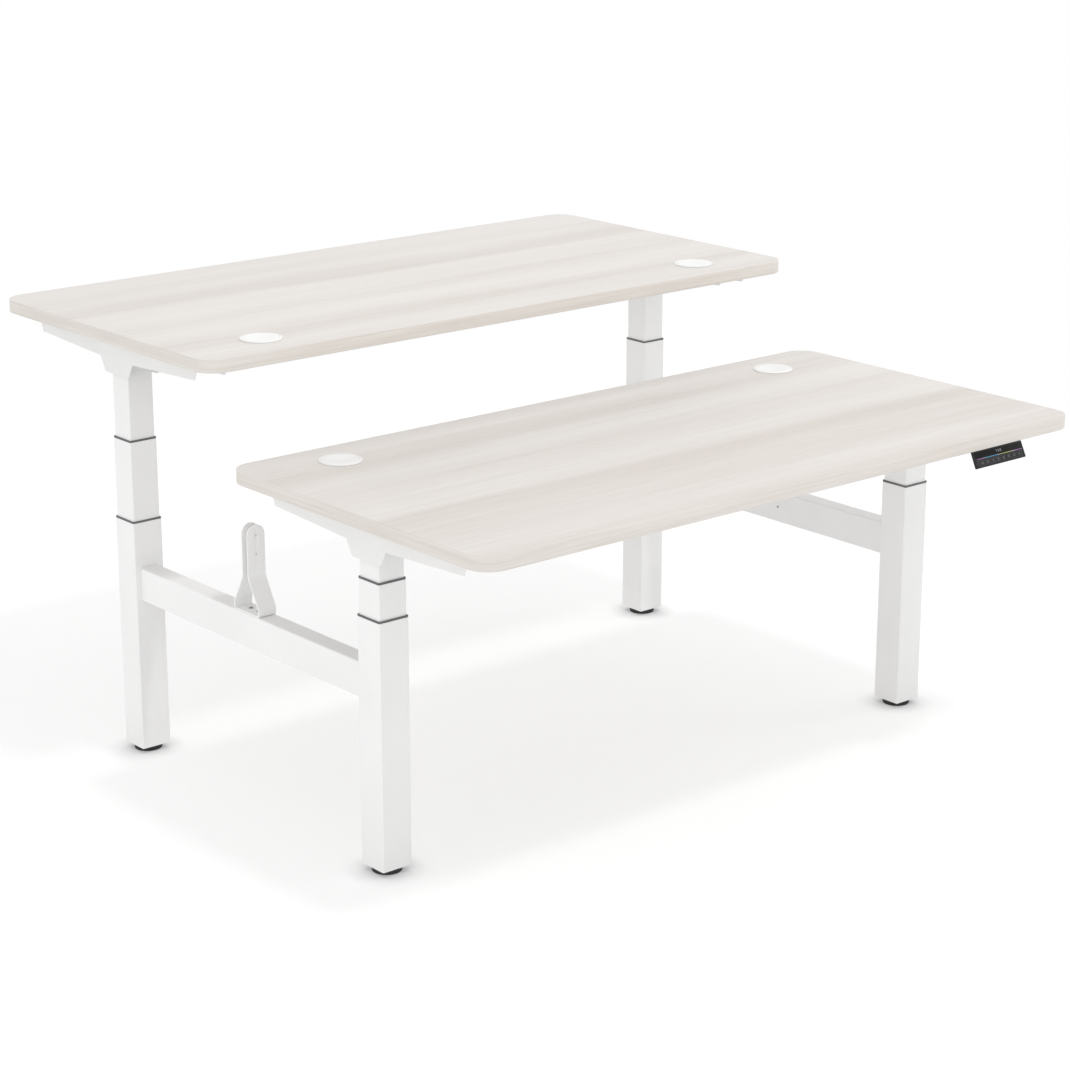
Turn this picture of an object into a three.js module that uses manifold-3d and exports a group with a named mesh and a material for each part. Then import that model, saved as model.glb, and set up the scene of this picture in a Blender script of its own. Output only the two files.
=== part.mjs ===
// Benching desk for two: a pair of electric sit-stand desks, back to back on one shared frame.
// Millimetres, +Z up. The origin is on the floor at the middle of the frame, X runs along the
// worktops, and the front desk's user sits on the -Y side.
import * as THREE from 'three';
import { mergeVertices } from 'three/addons/utils/BufferGeometryUtils.js';
import Module from 'manifold-3d';

const wasm = await Module();
wasm.setup();

// Clearances
const SEAT_GAP = 0.3;
const GLIDE_CLEARANCE = 0.3;

// Worktops
const TOP_LENGTH = 1600;
const TOP_DEPTH = 800;
const TOP_THICKNESS = 28;
const TOP_CORNER_RADIUS = 50;
const TOP_EDGE_EASE = 1.5;
const GAP_BETWEEN_TOPS = 56;

// Telescopic columns, widest at the bottom: each stage is narrower and shorter than the one outside it
const COLUMN_END_INSET = 76.5;
const OUTER_TUBE_WIDTH = 70;
const OUTER_TUBE_LENGTH = 505.5;
const TUBE_WALL = 1.5;
const TUBE_CORNER_RADIUS = 3;
const STAGE_CLEARANCE = 1;
const STAGE_SHORTENING = 5.5;
const COLLAR_HEIGHT = 4;
const BASE_PLATE_THICKNESS = 6;

// Lifting spindles in the inner tubes, and the nut sleeves that stand in the middle tubes
const SPINDLE_RADIUS = 10;
const SPINDLE_CHAMFER = 2;
const SPINDLE_END_INSET = 12;
const NUT_WALL = 4;
const NUT_SHORTENING = 60;
const NUT_BRIDGE_THICKNESS = 10;

// How far the middle stage stands out of the outer one, as photographed
const FRONT_STAGE_RISE = 75;
const REAR_STAGE_RISE = 175;
// Underside of a worktop above the outer collars when a column has no rise at all
const HEAD_HEIGHT = 39;

// Levelling feet
const FOOT_HEIGHT = 12.5;
const FOOT_RADIUS = 30;
const FOOT_EDGE = 2;
const FOOT_STUD_RADIUS = 5;
const FOOT_STUD_LENGTH = 34;
const FOOT_HOLE_CLEARANCE = 0.5;

// End beams between a front and a rear column
const BEAM_WIDTH = 43;
const BEAM_HEIGHT = 72.5;
const BEAM_TOP = 418.5;
const BEAM_WALL = 2;

// Screen brackets: a bent strip that stands on the middle of each end beam
const SCREEN_SLOT = 16;
const SCREEN_STRIP_WIDTH = 42;
const SCREEN_STRIP_SHEET = 3;
const SCREEN_STRIP_HEIGHT = 184;
const SCREEN_NECK_HEIGHT = 76;
const SCREEN_SHOULDER_HEIGHT = 17;
const SCREEN_FOOT_LENGTH = 87;
const SCREEN_BEND_RUN = 5;
const SCREEN_FOOT_BEND_RUN = 2.5;
const SCREEN_HOLE_RADIUS = 3.2;
const SCREEN_HOLE_DROP = 21.5;
const SCREEN_HOLE_PITCH = 40;
const SCREEN_SCREW_PITCH = 28;

// Side brackets: pressed channels that carry a worktop on its columns
const BRACKET_LENGTH = 612;
const BRACKET_OVERHANG = 2;
const BRACKET_SHEET = 2;
const BRACKET_END_DEPTH = 34.5;
const BRACKET_END_SLANT = 13;
const BRACKET_ROOT_DEPTH = 46;
const BRACKET_BOSS_DEPTH = 77;
const BOSS_ROOT_HALF_WIDTH = 61;
const BOSS_WAIST_HALF_WIDTH = 50;
const BOSS_WAIST_DEPTH = 66;
const BOSS_FOOT_HALF_WIDTH = 38;

// Gear motors on the column heads, inside the side brackets
const GEARBOX_LENGTH = 58;
const GEARBOX_HEIGHT = 42;
const GEARBOX_SIDE_CLEARANCE = 4;
const GEARBOX_CORNER_RADIUS = 6;
const MOTOR_RADIUS = 18;
const MOTOR_LENGTH = 92;
const MOTOR_TOP_CLEARANCE = 2;
const MOTOR_SOCKET = 14;
const DRIVE_SPIGOT_LENGTH = 18;
const DRIVE_SPIGOT_CLEARANCE = 4.5;

// Cross rails that tie the two columns of a desk together
const RAIL_WIDTH = 40;
const RAIL_HEIGHT = 25;
const RAIL_WALL = 2;
const RAIL_OFFSET = 150;

// Control box under each worktop
const BOX_LENGTH = 270;
const BOX_DEPTH = 104;
const BOX_HEIGHT = 36;
const BOX_CORNER_RADIUS = 10;
const BOX_EAR_LENGTH = 16;
const BOX_EAR_WIDTH = 52;
const BOX_EAR_THICKNESS = 4;

// Handset under the user's edge of each worktop
const HANDSET_LENGTH = 150;
const HANDSET_END_INSET = 172;
const HANDSET_FACE_DROP = 31;
const HANDSET_FACE_REACH = 15.7;
const HANDSET_LIP = 6.5;
const HANDSET_LIP_DROP = 3.2;
const HANDSET_TOP_DEPTH = 6.6;
const HANDSET_PLATE_END_INSET = 30;
const HANDSET_PLATE_THICKNESS = 10;
const HANDSET_PLATE_FRONT = 1;
const HANDSET_PLATE_BACK = 46;

// Key strip: one moulded mat with a row of keys, let into the handset's face
const KEYPAD_END_INSET = 6;
const KEYPAD_WIDTH = 15;
const KEYPAD_THICKNESS = 2.4;
const KEYPAD_TRAVEL = 0.8;
const KEYPAD_OFFSET = 8;
const KEYPAD_CORNER_RADIUS = 2;
const KEY_COUNT = 8;
const KEY_ROW_INSET = 5.3;
const KEY_LENGTH = 13;
const KEY_WIDTH = 9;
const KEY_RISE = 0.6;

// Cable grommets
const GROMMET_END_INSET = 200;
const GROMMET_BACK_INSET = 104;
const GROMMET_HOLE_RADIUS = 40;
const GROMMET_FLANGE_WIDTH = 4;
const GROMMET_FLANGE_HEIGHT = 2.5;
const GROMMET_BEVEL = 1.2;
const GROMMET_SLEEVE_DEPTH = 22;
const GROMMET_SLEEVE_WALL = 3.5;
const GROMMET_LIP = 2.5;
const CAP_THICKNESS = 6.5;
const CAP_CHAMFER = 0.6;
const CAP_DISH_RADIUS = 31;
const CAP_DISH_DEPTH = 4.5;

// Facets
const ROUND_SEGMENTS = 20;
const DISH_SEGMENTS = 6;
const BEND_SEGMENTS = 3;
const CORNER_SEGMENTS = 5;
const TUBE_CORNER_SEGMENTS = 2;
const KEY_CORNER_SEGMENTS = 1;
const EDGE_SEGMENTS = 2;
// A cutting tool is this many times as long as what it goes through
const CUT_THROUGH = 4;

// Sizes and places that follow from the sizes above
const STAGE_STEP = 2 * (TUBE_WALL + STAGE_CLEARANCE);
const MIDDLE_TUBE_WIDTH = OUTER_TUBE_WIDTH - STAGE_STEP;
const INNER_TUBE_WIDTH = MIDDLE_TUBE_WIDTH - STAGE_STEP;
const MIDDLE_TUBE_LENGTH = OUTER_TUBE_LENGTH - STAGE_SHORTENING;
const INNER_TUBE_LENGTH = MIDDLE_TUBE_LENGTH - STAGE_SHORTENING;
const NUT_BORE_RADIUS = SPINDLE_RADIUS + GLIDE_CLEARANCE;
const BRACKET_WIDTH = OUTER_TUBE_WIDTH + 2 * BRACKET_OVERHANG;
const BRACKET_INSIDE = BRACKET_WIDTH - 2 * BRACKET_SHEET;
const DRIVE_SPIGOT_RADIUS = INNER_TUBE_WIDTH / 2 - TUBE_WALL - DRIVE_SPIGOT_CLEARANCE;
const KEYPAD_LENGTH = HANDSET_LENGTH - 2 * KEYPAD_END_INSET;
const KEY_PITCH = (KEYPAD_LENGTH - 2 * KEY_ROW_INSET - KEY_LENGTH) / (KEY_COUNT - 1);
const GROMMET_SLEEVE_OUTSIDE = GROMMET_HOLE_RADIUS - GLIDE_CLEARANCE;
const GROMMET_SLEEVE_INSIDE = GROMMET_SLEEVE_OUTSIDE - GROMMET_SLEEVE_WALL;
const GROMMET_RECESS_RADIUS = GROMMET_SLEEVE_INSIDE + GROMMET_LIP;
const GROMMET_TOP = SEAT_GAP + GROMMET_FLANGE_HEIGHT;
const COLUMN_X = TOP_LENGTH / 2 - COLUMN_END_INSET;
const DESK_Y = GAP_BETWEEN_TOPS / 2 + TOP_DEPTH / 2;
const OUTER_TUBE_TOP = FOOT_HEIGHT + OUTER_TUBE_LENGTH;
const OUTER_COLLAR_TOP = OUTER_TUBE_TOP + COLLAR_HEIGHT;
const GEARBOX_TOP = -2 * SEAT_GAP - BRACKET_SHEET;
const GEARBOX_BOTTOM = GEARBOX_TOP - GEARBOX_HEIGHT;
const INNER_TUBE_TOP = GEARBOX_BOTTOM - SEAT_GAP;
const INNER_TUBE_BOTTOM = INNER_TUBE_TOP - INNER_TUBE_LENGTH;
const SPINDLE_TOP = GEARBOX_BOTTOM - DRIVE_SPIGOT_LENGTH - SEAT_GAP;
const SPINDLE_LENGTH = SPINDLE_TOP - INNER_TUBE_BOTTOM - SPINDLE_END_INSET;
const HANDSET_FACE_ANGLE = Math.atan2(HANDSET_FACE_DROP, HANDSET_FACE_REACH);

// Two ends of the frame, and the two desks: the rear desk is the front one turned half way round
const ENDS = [{ name: 'left', x: -1 }, { name: 'right', x: 1 }];
const DESKS = [
  { name: 'front', y: -1, turn: 0, rise: FRONT_STAGE_RISE },
  { name: 'rear', y: 1, turn: Math.PI, rise: REAR_STAGE_RISE },
];

const FINISHES = {
  powderCoat: { color: 0xeeeeec, roughness: 0.55, metalness: 0 },
  ashLaminate: { color: 0xe2dad2, roughness: 0.5, metalness: 0 },
  glideCollar: { color: 0x4a4a4c, roughness: 0.7, metalness: 0 },
  blackFoot: { color: 0x262626, roughness: 0.8, metalness: 0 },
  whitePlastic: { color: 0xf4f3f0, roughness: 0.4, metalness: 0 },
  blackPlastic: { color: 0x1d1d1f, roughness: 0.35, metalness: 0 },
  greyRubber: { color: 0x3a3a3c, roughness: 0.7, metalness: 0 },
  castHousing: { color: 0xb4b6b8, roughness: 0.4, metalness: 0.8 },
  brightSteel: { color: 0xc4c6c8, roughness: 0.3, metalness: 1 },
};

const desk = new THREE.Group();
desk.name = 'benching_desk';

function addPiece(parent, name, geometry, finish, x = 0, y = 0, z = 0) {
  const mesh = new THREE.Mesh(geometry, new THREE.MeshStandardMaterial(FINISHES[finish]));
  mesh.name = name;
  mesh.position.set(x, y, z);
  parent.add(mesh);
}

// Solids and booleans
function toSolid(geometry) {
  const bare = geometry.clone();
  bare.deleteAttribute('normal');
  bare.deleteAttribute('uv');
  const merged = mergeVertices(bare, 1e-4);
  const mesh = new wasm.Mesh({
    numProp: 3,
    vertProperties: new Float32Array(merged.attributes.position.array),
    triVerts: new Uint32Array(merged.index.array),
  });
  mesh.merge();
  return new wasm.Manifold(mesh);
}

function toGeometry(solid) {
  const mesh = solid.getMesh();
  const geometry = new THREE.BufferGeometry();
  geometry.setAttribute('position', new THREE.BufferAttribute(mesh.vertProperties, 3));
  geometry.setIndex(new THREE.BufferAttribute(mesh.triVerts, 1));
  geometry.computeVertexNormals();
  return geometry;
}

function cut(geometry, ...tools) {
  const solid = tools.reduce((rest, tool) => rest.subtract(toSolid(tool)), toSolid(geometry));
  return toGeometry(solid);
}

function join(geometry, ...others) {
  const solid = others.reduce((sum, other) => sum.add(toSolid(other)), toSolid(geometry));
  return toGeometry(solid);
}

function intersect(geometry, other) {
  return toGeometry(toSolid(geometry).intersect(toSolid(other)));
}

// Outlines and prisms
function roundedRectangle(width, depth, radius) {
  const x = width / 2;
  const y = depth / 2;
  const outline = new THREE.Shape();
  outline.moveTo(radius - x, -y);
  outline.lineTo(x - radius, -y);
  outline.absarc(x - radius, radius - y, radius, -Math.PI / 2, 0);
  outline.lineTo(x, y - radius);
  outline.absarc(x - radius, y - radius, radius, 0, Math.PI / 2);
  outline.lineTo(radius - x, y);
  outline.absarc(radius - x, y - radius, radius, Math.PI / 2, Math.PI);
  outline.lineTo(-x, radius - y);
  outline.absarc(radius - x, radius - y, radius, Math.PI, Math.PI * 1.5);
  return outline;
}

function polygon(points) {
  return new THREE.Shape(points.map(([u, v]) => new THREE.Vector2(u, v)));
}

// A prism on the XY plane, from z = bottom upwards
function prismUp(shape, height, bottom = 0, curveSegments = CORNER_SEGMENTS) {
  const geometry = new THREE.ExtrudeGeometry(shape, { depth: height, bevelEnabled: false, curveSegments });
  return geometry.translate(0, 0, bottom);
}

// A prism whose outline lies on the YZ plane, centred along X
function prismAlongX(shape, length, curveSegments = CORNER_SEGMENTS) {
  const geometry = prismUp(shape, length, -length / 2, curveSegments);
  return geometry.rotateX(Math.PI / 2).rotateZ(Math.PI / 2);
}

// A prism whose outline lies on the XZ plane, centred along Y
function prismAlongY(shape, length, curveSegments = CORNER_SEGMENTS) {
  const geometry = prismUp(shape, length, -length / 2, curveSegments);
  return geometry.rotateX(Math.PI / 2);
}

// A hollow section with rounded outside corners and square inside ones
function tubeOutline(width, depth, wall) {
  const outline = roundedRectangle(width, depth, TUBE_CORNER_RADIUS);
  const x = width / 2 - wall;
  const y = depth / 2 - wall;
  outline.holes.push(polygon([[-x, -y], [-x, y], [x, y], [x, -y]]));
  return outline;
}

function cylinder(radius, length) {
  return new THREE.CylinderGeometry(radius, radius, length, ROUND_SEGMENTS).rotateX(Math.PI / 2);
}

// A solid of revolution about Z from points [radius, height]
function revolve(points) {
  const profile = points.map(([radius, height]) => new THREE.Vector2(radius, height));
  return new THREE.LatheGeometry(profile, ROUND_SEGMENTS).rotateX(Math.PI / 2);
}

// Columns
function columnTube(width, length) {
  return prismUp(tubeOutline(width, width, TUBE_WALL), length, 0, TUBE_CORNER_SEGMENTS);
}

// A plate welded into the foot of a tube
function footPlate(tubeWidth, thickness) {
  const width = tubeWidth - TUBE_WALL;
  return prismUp(roundedRectangle(width, width, TUBE_WALL), thickness, 0, TUBE_CORNER_SEGMENTS);
}

// The outer tube's foot plate has the hole of a levelling stud
function outerTube() {
  const tube = columnTube(OUTER_TUBE_WIDTH, OUTER_TUBE_LENGTH);
  const plate = footPlate(OUTER_TUBE_WIDTH, BASE_PLATE_THICKNESS);
  const hole = cylinder(FOOT_STUD_RADIUS + FOOT_HOLE_CLEARANCE, CUT_THROUGH * BASE_PLATE_THICKNESS);
  return cut(join(tube, plate), hole);
}

// The middle tube's foot plate is a bridge that carries the spindle's nut sleeve
function middleTube() {
  const nutLength = MIDDLE_TUBE_LENGTH - NUT_SHORTENING;
  const tube = columnTube(MIDDLE_TUBE_WIDTH, MIDDLE_TUBE_LENGTH);
  const bridge = footPlate(MIDDLE_TUBE_WIDTH, NUT_BRIDGE_THICKNESS);
  const sleeve = cylinder(NUT_BORE_RADIUS + NUT_WALL, nutLength).translate(0, 0, nutLength / 2);
  const bore = cylinder(NUT_BORE_RADIUS, CUT_THROUGH * nutLength);
  return cut(join(tube, bridge, sleeve), bore);
}

// Lifting spindle, hanging from Z = 0 under the gear motor's spigot
function liftingSpindle() {
  return revolve([
    [0, -SPINDLE_LENGTH],
    [SPINDLE_RADIUS - SPINDLE_CHAMFER, -SPINDLE_LENGTH],
    [SPINDLE_RADIUS, SPINDLE_CHAMFER - SPINDLE_LENGTH],
    [SPINDLE_RADIUS, 0],
    [0, 0],
  ]);
}

// A glide collar caps a tube and guides the next stage
function glideCollar(width, guidedWidth) {
  const bore = guidedWidth + 2 * GLIDE_CLEARANCE;
  const outline = roundedRectangle(width, width, TUBE_CORNER_RADIUS);
  outline.holes.push(roundedRectangle(bore, bore, TUBE_CORNER_RADIUS));
  return prismUp(outline, COLLAR_HEIGHT - SEAT_GAP, 0, TUBE_CORNER_SEGMENTS);
}

function levellingFoot() {
  const padTop = FOOT_HEIGHT - SEAT_GAP;
  return revolve([
    [0, 0],
    [FOOT_RADIUS - FOOT_EDGE, 0],
    [FOOT_RADIUS, FOOT_EDGE],
    [FOOT_RADIUS, padTop - FOOT_EDGE],
    [FOOT_RADIUS - FOOT_EDGE, padTop],
    [FOOT_STUD_RADIUS, padTop],
    [FOOT_STUD_RADIUS, padTop + FOOT_STUD_LENGTH],
    [0, padTop + FOOT_STUD_LENGTH],
  ]);
}

// End beams and screen brackets
function endBeam() {
  const length = 2 * DESK_Y - OUTER_TUBE_WIDTH - 2 * SEAT_GAP;
  return prismAlongY(tubeOutline(BEAM_WIDTH, BEAM_HEIGHT, BEAM_WALL), length, TUBE_CORNER_SEGMENTS);
}

// Screen bracket: one strip bent like a bottle, with a foot, shoulders that lean in and two uprights
// that take a screen between them
function screenBracket() {
  const foot = (SCREEN_FOOT_LENGTH - SCREEN_STRIP_SHEET) / 2;
  const upright = (SCREEN_SLOT + SCREEN_STRIP_SHEET) / 2;
  const rearHalf = [
    [foot, SCREEN_STRIP_SHEET / 2, SCREEN_FOOT_BEND_RUN],
    [foot, SCREEN_SHOULDER_HEIGHT, SCREEN_BEND_RUN],
    [upright, SCREEN_NECK_HEIGHT, SCREEN_BEND_RUN],
    [upright, SCREEN_STRIP_HEIGHT, 0],
  ];
  const frontHalf = rearHalf.map(([y, z, run]) => [-y, z, run]).reverse();
  const bentOutline = sheetOutline(bentLine([...frontHalf, ...rearHalf]), SCREEN_STRIP_SHEET);
  const bentStrip = prismAlongX(bentOutline, SCREEN_STRIP_WIDTH);
  const outline = prismAlongY(screenStripOutline(), CUT_THROUGH * SCREEN_FOOT_LENGTH);
  const screwHoles = [-1, 1].map((row) => {
    const hole = cylinder(SCREEN_HOLE_RADIUS, CUT_THROUGH * SCREEN_STRIP_SHEET);
    return hole.translate(0, row * SCREEN_SCREW_PITCH / 2, 0);
  });
  return cut(intersect(bentStrip, outline), ...screwHoles);
}

// A line through corners [u, v, run] that is bent from a run before each corner to a run after it
function bentLine(corners) {
  const points = corners.map(([u, v]) => new THREE.Vector2(u, v));
  const end = points[points.length - 1];
  const line = new THREE.Path();
  line.moveTo(points[0].x, points[0].y);
  for (let index = 1; index < points.length - 1; index += 1) {
    const corner = points[index];
    const run = corners[index][2];
    const entry = pointTowards(corner, points[index - 1], run);
    const leave = pointTowards(corner, points[index + 1], run);
    line.lineTo(entry.x, entry.y);
    line.quadraticCurveTo(corner.x, corner.y, leave.x, leave.y);
  }
  line.lineTo(end.x, end.y);
  return line.getPoints(BEND_SEGMENTS);
}

function pointTowards(from, to, distance) {
  return to.clone().sub(from).setLength(distance).add(from);
}

// The outline of a sheet that is bent along a line, mitred where the line turns
function sheetOutline(line, thickness) {
  const edge = (side) => line.map((point, index) => {
    const arriving = segmentNormal(line, index - 1);
    const mitre = segmentNormal(line, index).add(arriving).normalize();
    return point.clone().addScaledVector(mitre, side * thickness / 2 / mitre.dot(arriving));
  });
  return new THREE.Shape([...edge(1), ...edge(-1).reverse()]);
}

function segmentNormal(line, index) {
  const start = Math.min(Math.max(index, 0), line.length - 2);
  const along = line[start + 1].clone().sub(line[start]).normalize();
  return new THREE.Vector2(-along.y, along.x);
}

// The strip seen from the user's side: round at the top, with two holes for a screen's screws
function screenStripOutline() {
  const half = SCREEN_STRIP_WIDTH / 2;
  const outline = new THREE.Shape();
  outline.moveTo(-half, 0);
  outline.lineTo(half, 0);
  outline.lineTo(half, SCREEN_STRIP_HEIGHT - half);
  outline.absarc(0, SCREEN_STRIP_HEIGHT - half, half, 0, Math.PI);
  for (const row of [0, 1]) {
    const height = SCREEN_STRIP_HEIGHT - SCREEN_HOLE_DROP - row * SCREEN_HOLE_PITCH;
    const hole = new THREE.Path();
    hole.absarc(0, height, SCREEN_HOLE_RADIUS, 0, 2 * Math.PI);
    outline.holes.push(hole);
  }
  return outline;
}

// Worktop, from its underside upwards
function worktop() {
  const ease = TOP_EDGE_EASE;
  const outline = roundedRectangle(TOP_LENGTH, TOP_DEPTH, TOP_CORNER_RADIUS);
  const board = new THREE.ExtrudeGeometry(outline, {
    depth: TOP_THICKNESS - 2 * ease,
    bevelThickness: ease,
    bevelSize: ease,
    bevelOffset: -ease,
    bevelSegments: EDGE_SEGMENTS,
    curveSegments: CORNER_SEGMENTS,
  }).translate(0, 0, ease);
  const holes = ENDS.map((end) => {
    const [x, y] = grommetPlace(end);
    return cylinder(GROMMET_HOLE_RADIUS, CUT_THROUGH * TOP_THICKNESS).translate(x, y, 0);
  });
  return cut(board, ...holes);
}

function grommetPlace(end) {
  return [end.x * (TOP_LENGTH / 2 - GROMMET_END_INSET), TOP_DEPTH / 2 - GROMMET_BACK_INSET];
}

// Side bracket: a channel open below, deeper round the column head
function sideBracket() {
  const end = BRACKET_LENGTH / 2;
  const root = BOSS_ROOT_HALF_WIDTH;
  const waist = BOSS_WAIST_HALF_WIDTH;
  const foot = BOSS_FOOT_HALF_WIDTH;
  const outline = new THREE.Shape();
  outline.moveTo(end, 0);
  outline.lineTo(-end, 0);
  outline.lineTo(BRACKET_END_SLANT - end, -BRACKET_END_DEPTH);
  outline.lineTo(-root, -BRACKET_ROOT_DEPTH);
  outline.lineTo(-waist, -BOSS_WAIST_DEPTH);
  outline.quadraticCurveTo(-waist, -BRACKET_BOSS_DEPTH, -foot, -BRACKET_BOSS_DEPTH);
  outline.lineTo(foot, -BRACKET_BOSS_DEPTH);
  outline.quadraticCurveTo(waist, -BRACKET_BOSS_DEPTH, waist, -BOSS_WAIST_DEPTH);
  outline.lineTo(root, -BRACKET_ROOT_DEPTH);
  outline.lineTo(end - BRACKET_END_SLANT, -BRACKET_END_DEPTH);
  const block = prismAlongX(outline, BRACKET_WIDTH, TUBE_CORNER_SEGMENTS);
  const insideDepth = CUT_THROUGH * BRACKET_BOSS_DEPTH;
  const inside = new THREE.BoxGeometry(BRACKET_INSIDE, CUT_THROUGH * BRACKET_LENGTH, insideDepth);
  inside.translate(0, 0, -BRACKET_SHEET - insideDepth / 2);
  return cut(block, inside).translate(0, 0, -SEAT_GAP);
}

// Gear motor: a gearbox on the column head, a motor lying in the channel, a spigot in the inner tube
function gearMotor() {
  const gearboxWidth = BRACKET_INSIDE - 2 * GEARBOX_SIDE_CLEARANCE;
  const boxOutline = roundedRectangle(gearboxWidth, GEARBOX_LENGTH, GEARBOX_CORNER_RADIUS);
  const gearbox = prismUp(boxOutline, GEARBOX_HEIGHT, GEARBOX_BOTTOM, TUBE_CORNER_SEGMENTS);
  const motor = cylinder(MOTOR_RADIUS, MOTOR_LENGTH + MOTOR_SOCKET).rotateX(Math.PI / 2);
  const motorMiddle = GEARBOX_LENGTH / 2 + (MOTOR_LENGTH - MOTOR_SOCKET) / 2;
  motor.translate(0, motorMiddle, GEARBOX_TOP - MOTOR_TOP_CLEARANCE - MOTOR_RADIUS);
  const spigot = cylinder(DRIVE_SPIGOT_RADIUS, DRIVE_SPIGOT_LENGTH + MOTOR_SOCKET);
  spigot.translate(0, 0, GEARBOX_BOTTOM - (DRIVE_SPIGOT_LENGTH - MOTOR_SOCKET) / 2);
  return join(gearbox, motor, spigot);
}

function crossRail() {
  const length = 2 * COLUMN_X - BRACKET_WIDTH - 2 * SEAT_GAP;
  return prismAlongX(tubeOutline(RAIL_WIDTH, RAIL_HEIGHT, RAIL_WALL), length, TUBE_CORNER_SEGMENTS);
}

// Control box with a fixing ear at each end, hung from the worktop
function controlBox() {
  const bodyOutline = roundedRectangle(BOX_LENGTH, BOX_DEPTH, BOX_CORNER_RADIUS);
  const body = prismUp(bodyOutline, BOX_HEIGHT, -BOX_HEIGHT, TUBE_CORNER_SEGMENTS);
  const earOutline = roundedRectangle(BOX_LENGTH + 2 * BOX_EAR_LENGTH, BOX_EAR_WIDTH, BOX_CORNER_RADIUS);
  const ears = prismUp(earOutline, BOX_EAR_THICKNESS, -BOX_EAR_THICKNESS, TUBE_CORNER_SEGMENTS);
  return join(body, ears).translate(0, 0, -SEAT_GAP);
}

// Lays what is modelled flat on the XY plane onto the handset's leaning face
function onHandsetFace(geometry) {
  geometry.translate(0, -KEYPAD_OFFSET, 0).rotateX(HANDSET_FACE_ANGLE);
  return geometry.translate(0, -HANDSET_FACE_REACH / 2, -HANDSET_FACE_DROP / 2 - SEAT_GAP);
}

// Handset: a slab that leans out to the user, and a narrower fixing plate behind it.
// Y = 0 is the worktop's edge and Z = 0 its underside.
function handset() {
  const faceFoot = -HANDSET_FACE_DROP;
  const slab = prismAlongX(polygon([
    [0, 0],
    [-HANDSET_FACE_REACH, faceFoot],
    [HANDSET_LIP - HANDSET_FACE_REACH, faceFoot - HANDSET_LIP_DROP],
    [HANDSET_TOP_DEPTH, 0],
  ]), HANDSET_LENGTH);
  const plate = prismAlongX(polygon([
    [HANDSET_PLATE_FRONT, 0],
    [HANDSET_PLATE_FRONT, -HANDSET_PLATE_THICKNESS],
    [HANDSET_PLATE_BACK, -HANDSET_PLATE_THICKNESS],
    [HANDSET_PLATE_BACK, 0],
  ]), HANDSET_LENGTH - 2 * HANDSET_PLATE_END_INSET);
  const body = join(slab, plate).translate(0, 0, -SEAT_GAP);
  const pocketLength = KEYPAD_LENGTH + 2 * GLIDE_CLEARANCE;
  const pocketWidth = KEYPAD_WIDTH + 2 * GLIDE_CLEARANCE;
  const pocketDepth = KEYPAD_THICKNESS + KEYPAD_TRAVEL + SEAT_GAP;
  const pocketOutline = roundedRectangle(pocketLength, pocketWidth, KEYPAD_CORNER_RADIUS);
  const pocket = prismUp(pocketOutline, 2 * pocketDepth, -pocketDepth, TUBE_CORNER_SEGMENTS);
  return cut(body, onHandsetFace(pocket));
}

function keypad() {
  const matOutline = roundedRectangle(KEYPAD_LENGTH, KEYPAD_WIDTH, KEYPAD_CORNER_RADIUS);
  const mat = prismUp(matOutline, KEYPAD_THICKNESS, -KEYPAD_THICKNESS, TUBE_CORNER_SEGMENTS);
  const keyOutline = roundedRectangle(KEY_LENGTH, KEY_WIDTH, KEYPAD_CORNER_RADIUS);
  const keys = [];
  for (let index = 0; index < KEY_COUNT; index += 1) {
    const key = prismUp(keyOutline, KEYPAD_THICKNESS + KEY_RISE, -KEYPAD_THICKNESS, KEY_CORNER_SEGMENTS);
    keys.push(key.translate((index - (KEY_COUNT - 1) / 2) * KEY_PITCH, 0, 0));
  }
  return onHandsetFace(join(mat, ...keys));
}

// Grommet ring: a flange on the worktop, a sleeve in its hole and a lip that holds the cap
function grommetRing() {
  const flangeRadius = GROMMET_HOLE_RADIUS + GROMMET_FLANGE_WIDTH;
  const lipTop = GROMMET_TOP - CAP_THICKNESS - SEAT_GAP;
  return revolve([
    [GROMMET_SLEEVE_INSIDE, -GROMMET_SLEEVE_DEPTH],
    [GROMMET_SLEEVE_OUTSIDE, -GROMMET_SLEEVE_DEPTH],
    [GROMMET_SLEEVE_OUTSIDE, SEAT_GAP],
    [flangeRadius, SEAT_GAP],
    [flangeRadius, GROMMET_TOP - GROMMET_BEVEL],
    [flangeRadius - GROMMET_BEVEL, GROMMET_TOP],
    [GROMMET_RECESS_RADIUS, GROMMET_TOP],
    [GROMMET_RECESS_RADIUS, lipTop],
    [GROMMET_SLEEVE_INSIDE, lipTop],
    [GROMMET_SLEEVE_INSIDE, -GROMMET_SLEEVE_DEPTH],
  ]);
}

// Grommet cap: a disc whose top is dished for a finger
function grommetCap() {
  const radius = GROMMET_RECESS_RADIUS - GLIDE_CLEARANCE;
  const dish = [];
  for (let step = 0; step <= DISH_SEGMENTS; step += 1) {
    const share = 1 - step / DISH_SEGMENTS;
    dish.push([share * CAP_DISH_RADIUS, GROMMET_TOP - CAP_DISH_DEPTH * (1 - share ** 2)]);
  }
  return revolve([
    [0, GROMMET_TOP - CAP_THICKNESS],
    [radius, GROMMET_TOP - CAP_THICKNESS],
    [radius, GROMMET_TOP - CAP_CHAMFER],
    [radius - CAP_CHAMFER, GROMMET_TOP],
    ...dish,
  ]);
}

// Shared frame: an end beam and a screen bracket at each end
for (const end of ENDS) {
  const x = end.x * COLUMN_X;
  addPiece(desk, `end_beam_${end.name}`, endBeam(), 'powderCoat', x, 0, BEAM_TOP - BEAM_HEIGHT / 2);
  addPiece(desk, `screen_bracket_${end.name}`, screenBracket(), 'powderCoat', x, 0, BEAM_TOP + SEAT_GAP);
}

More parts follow.
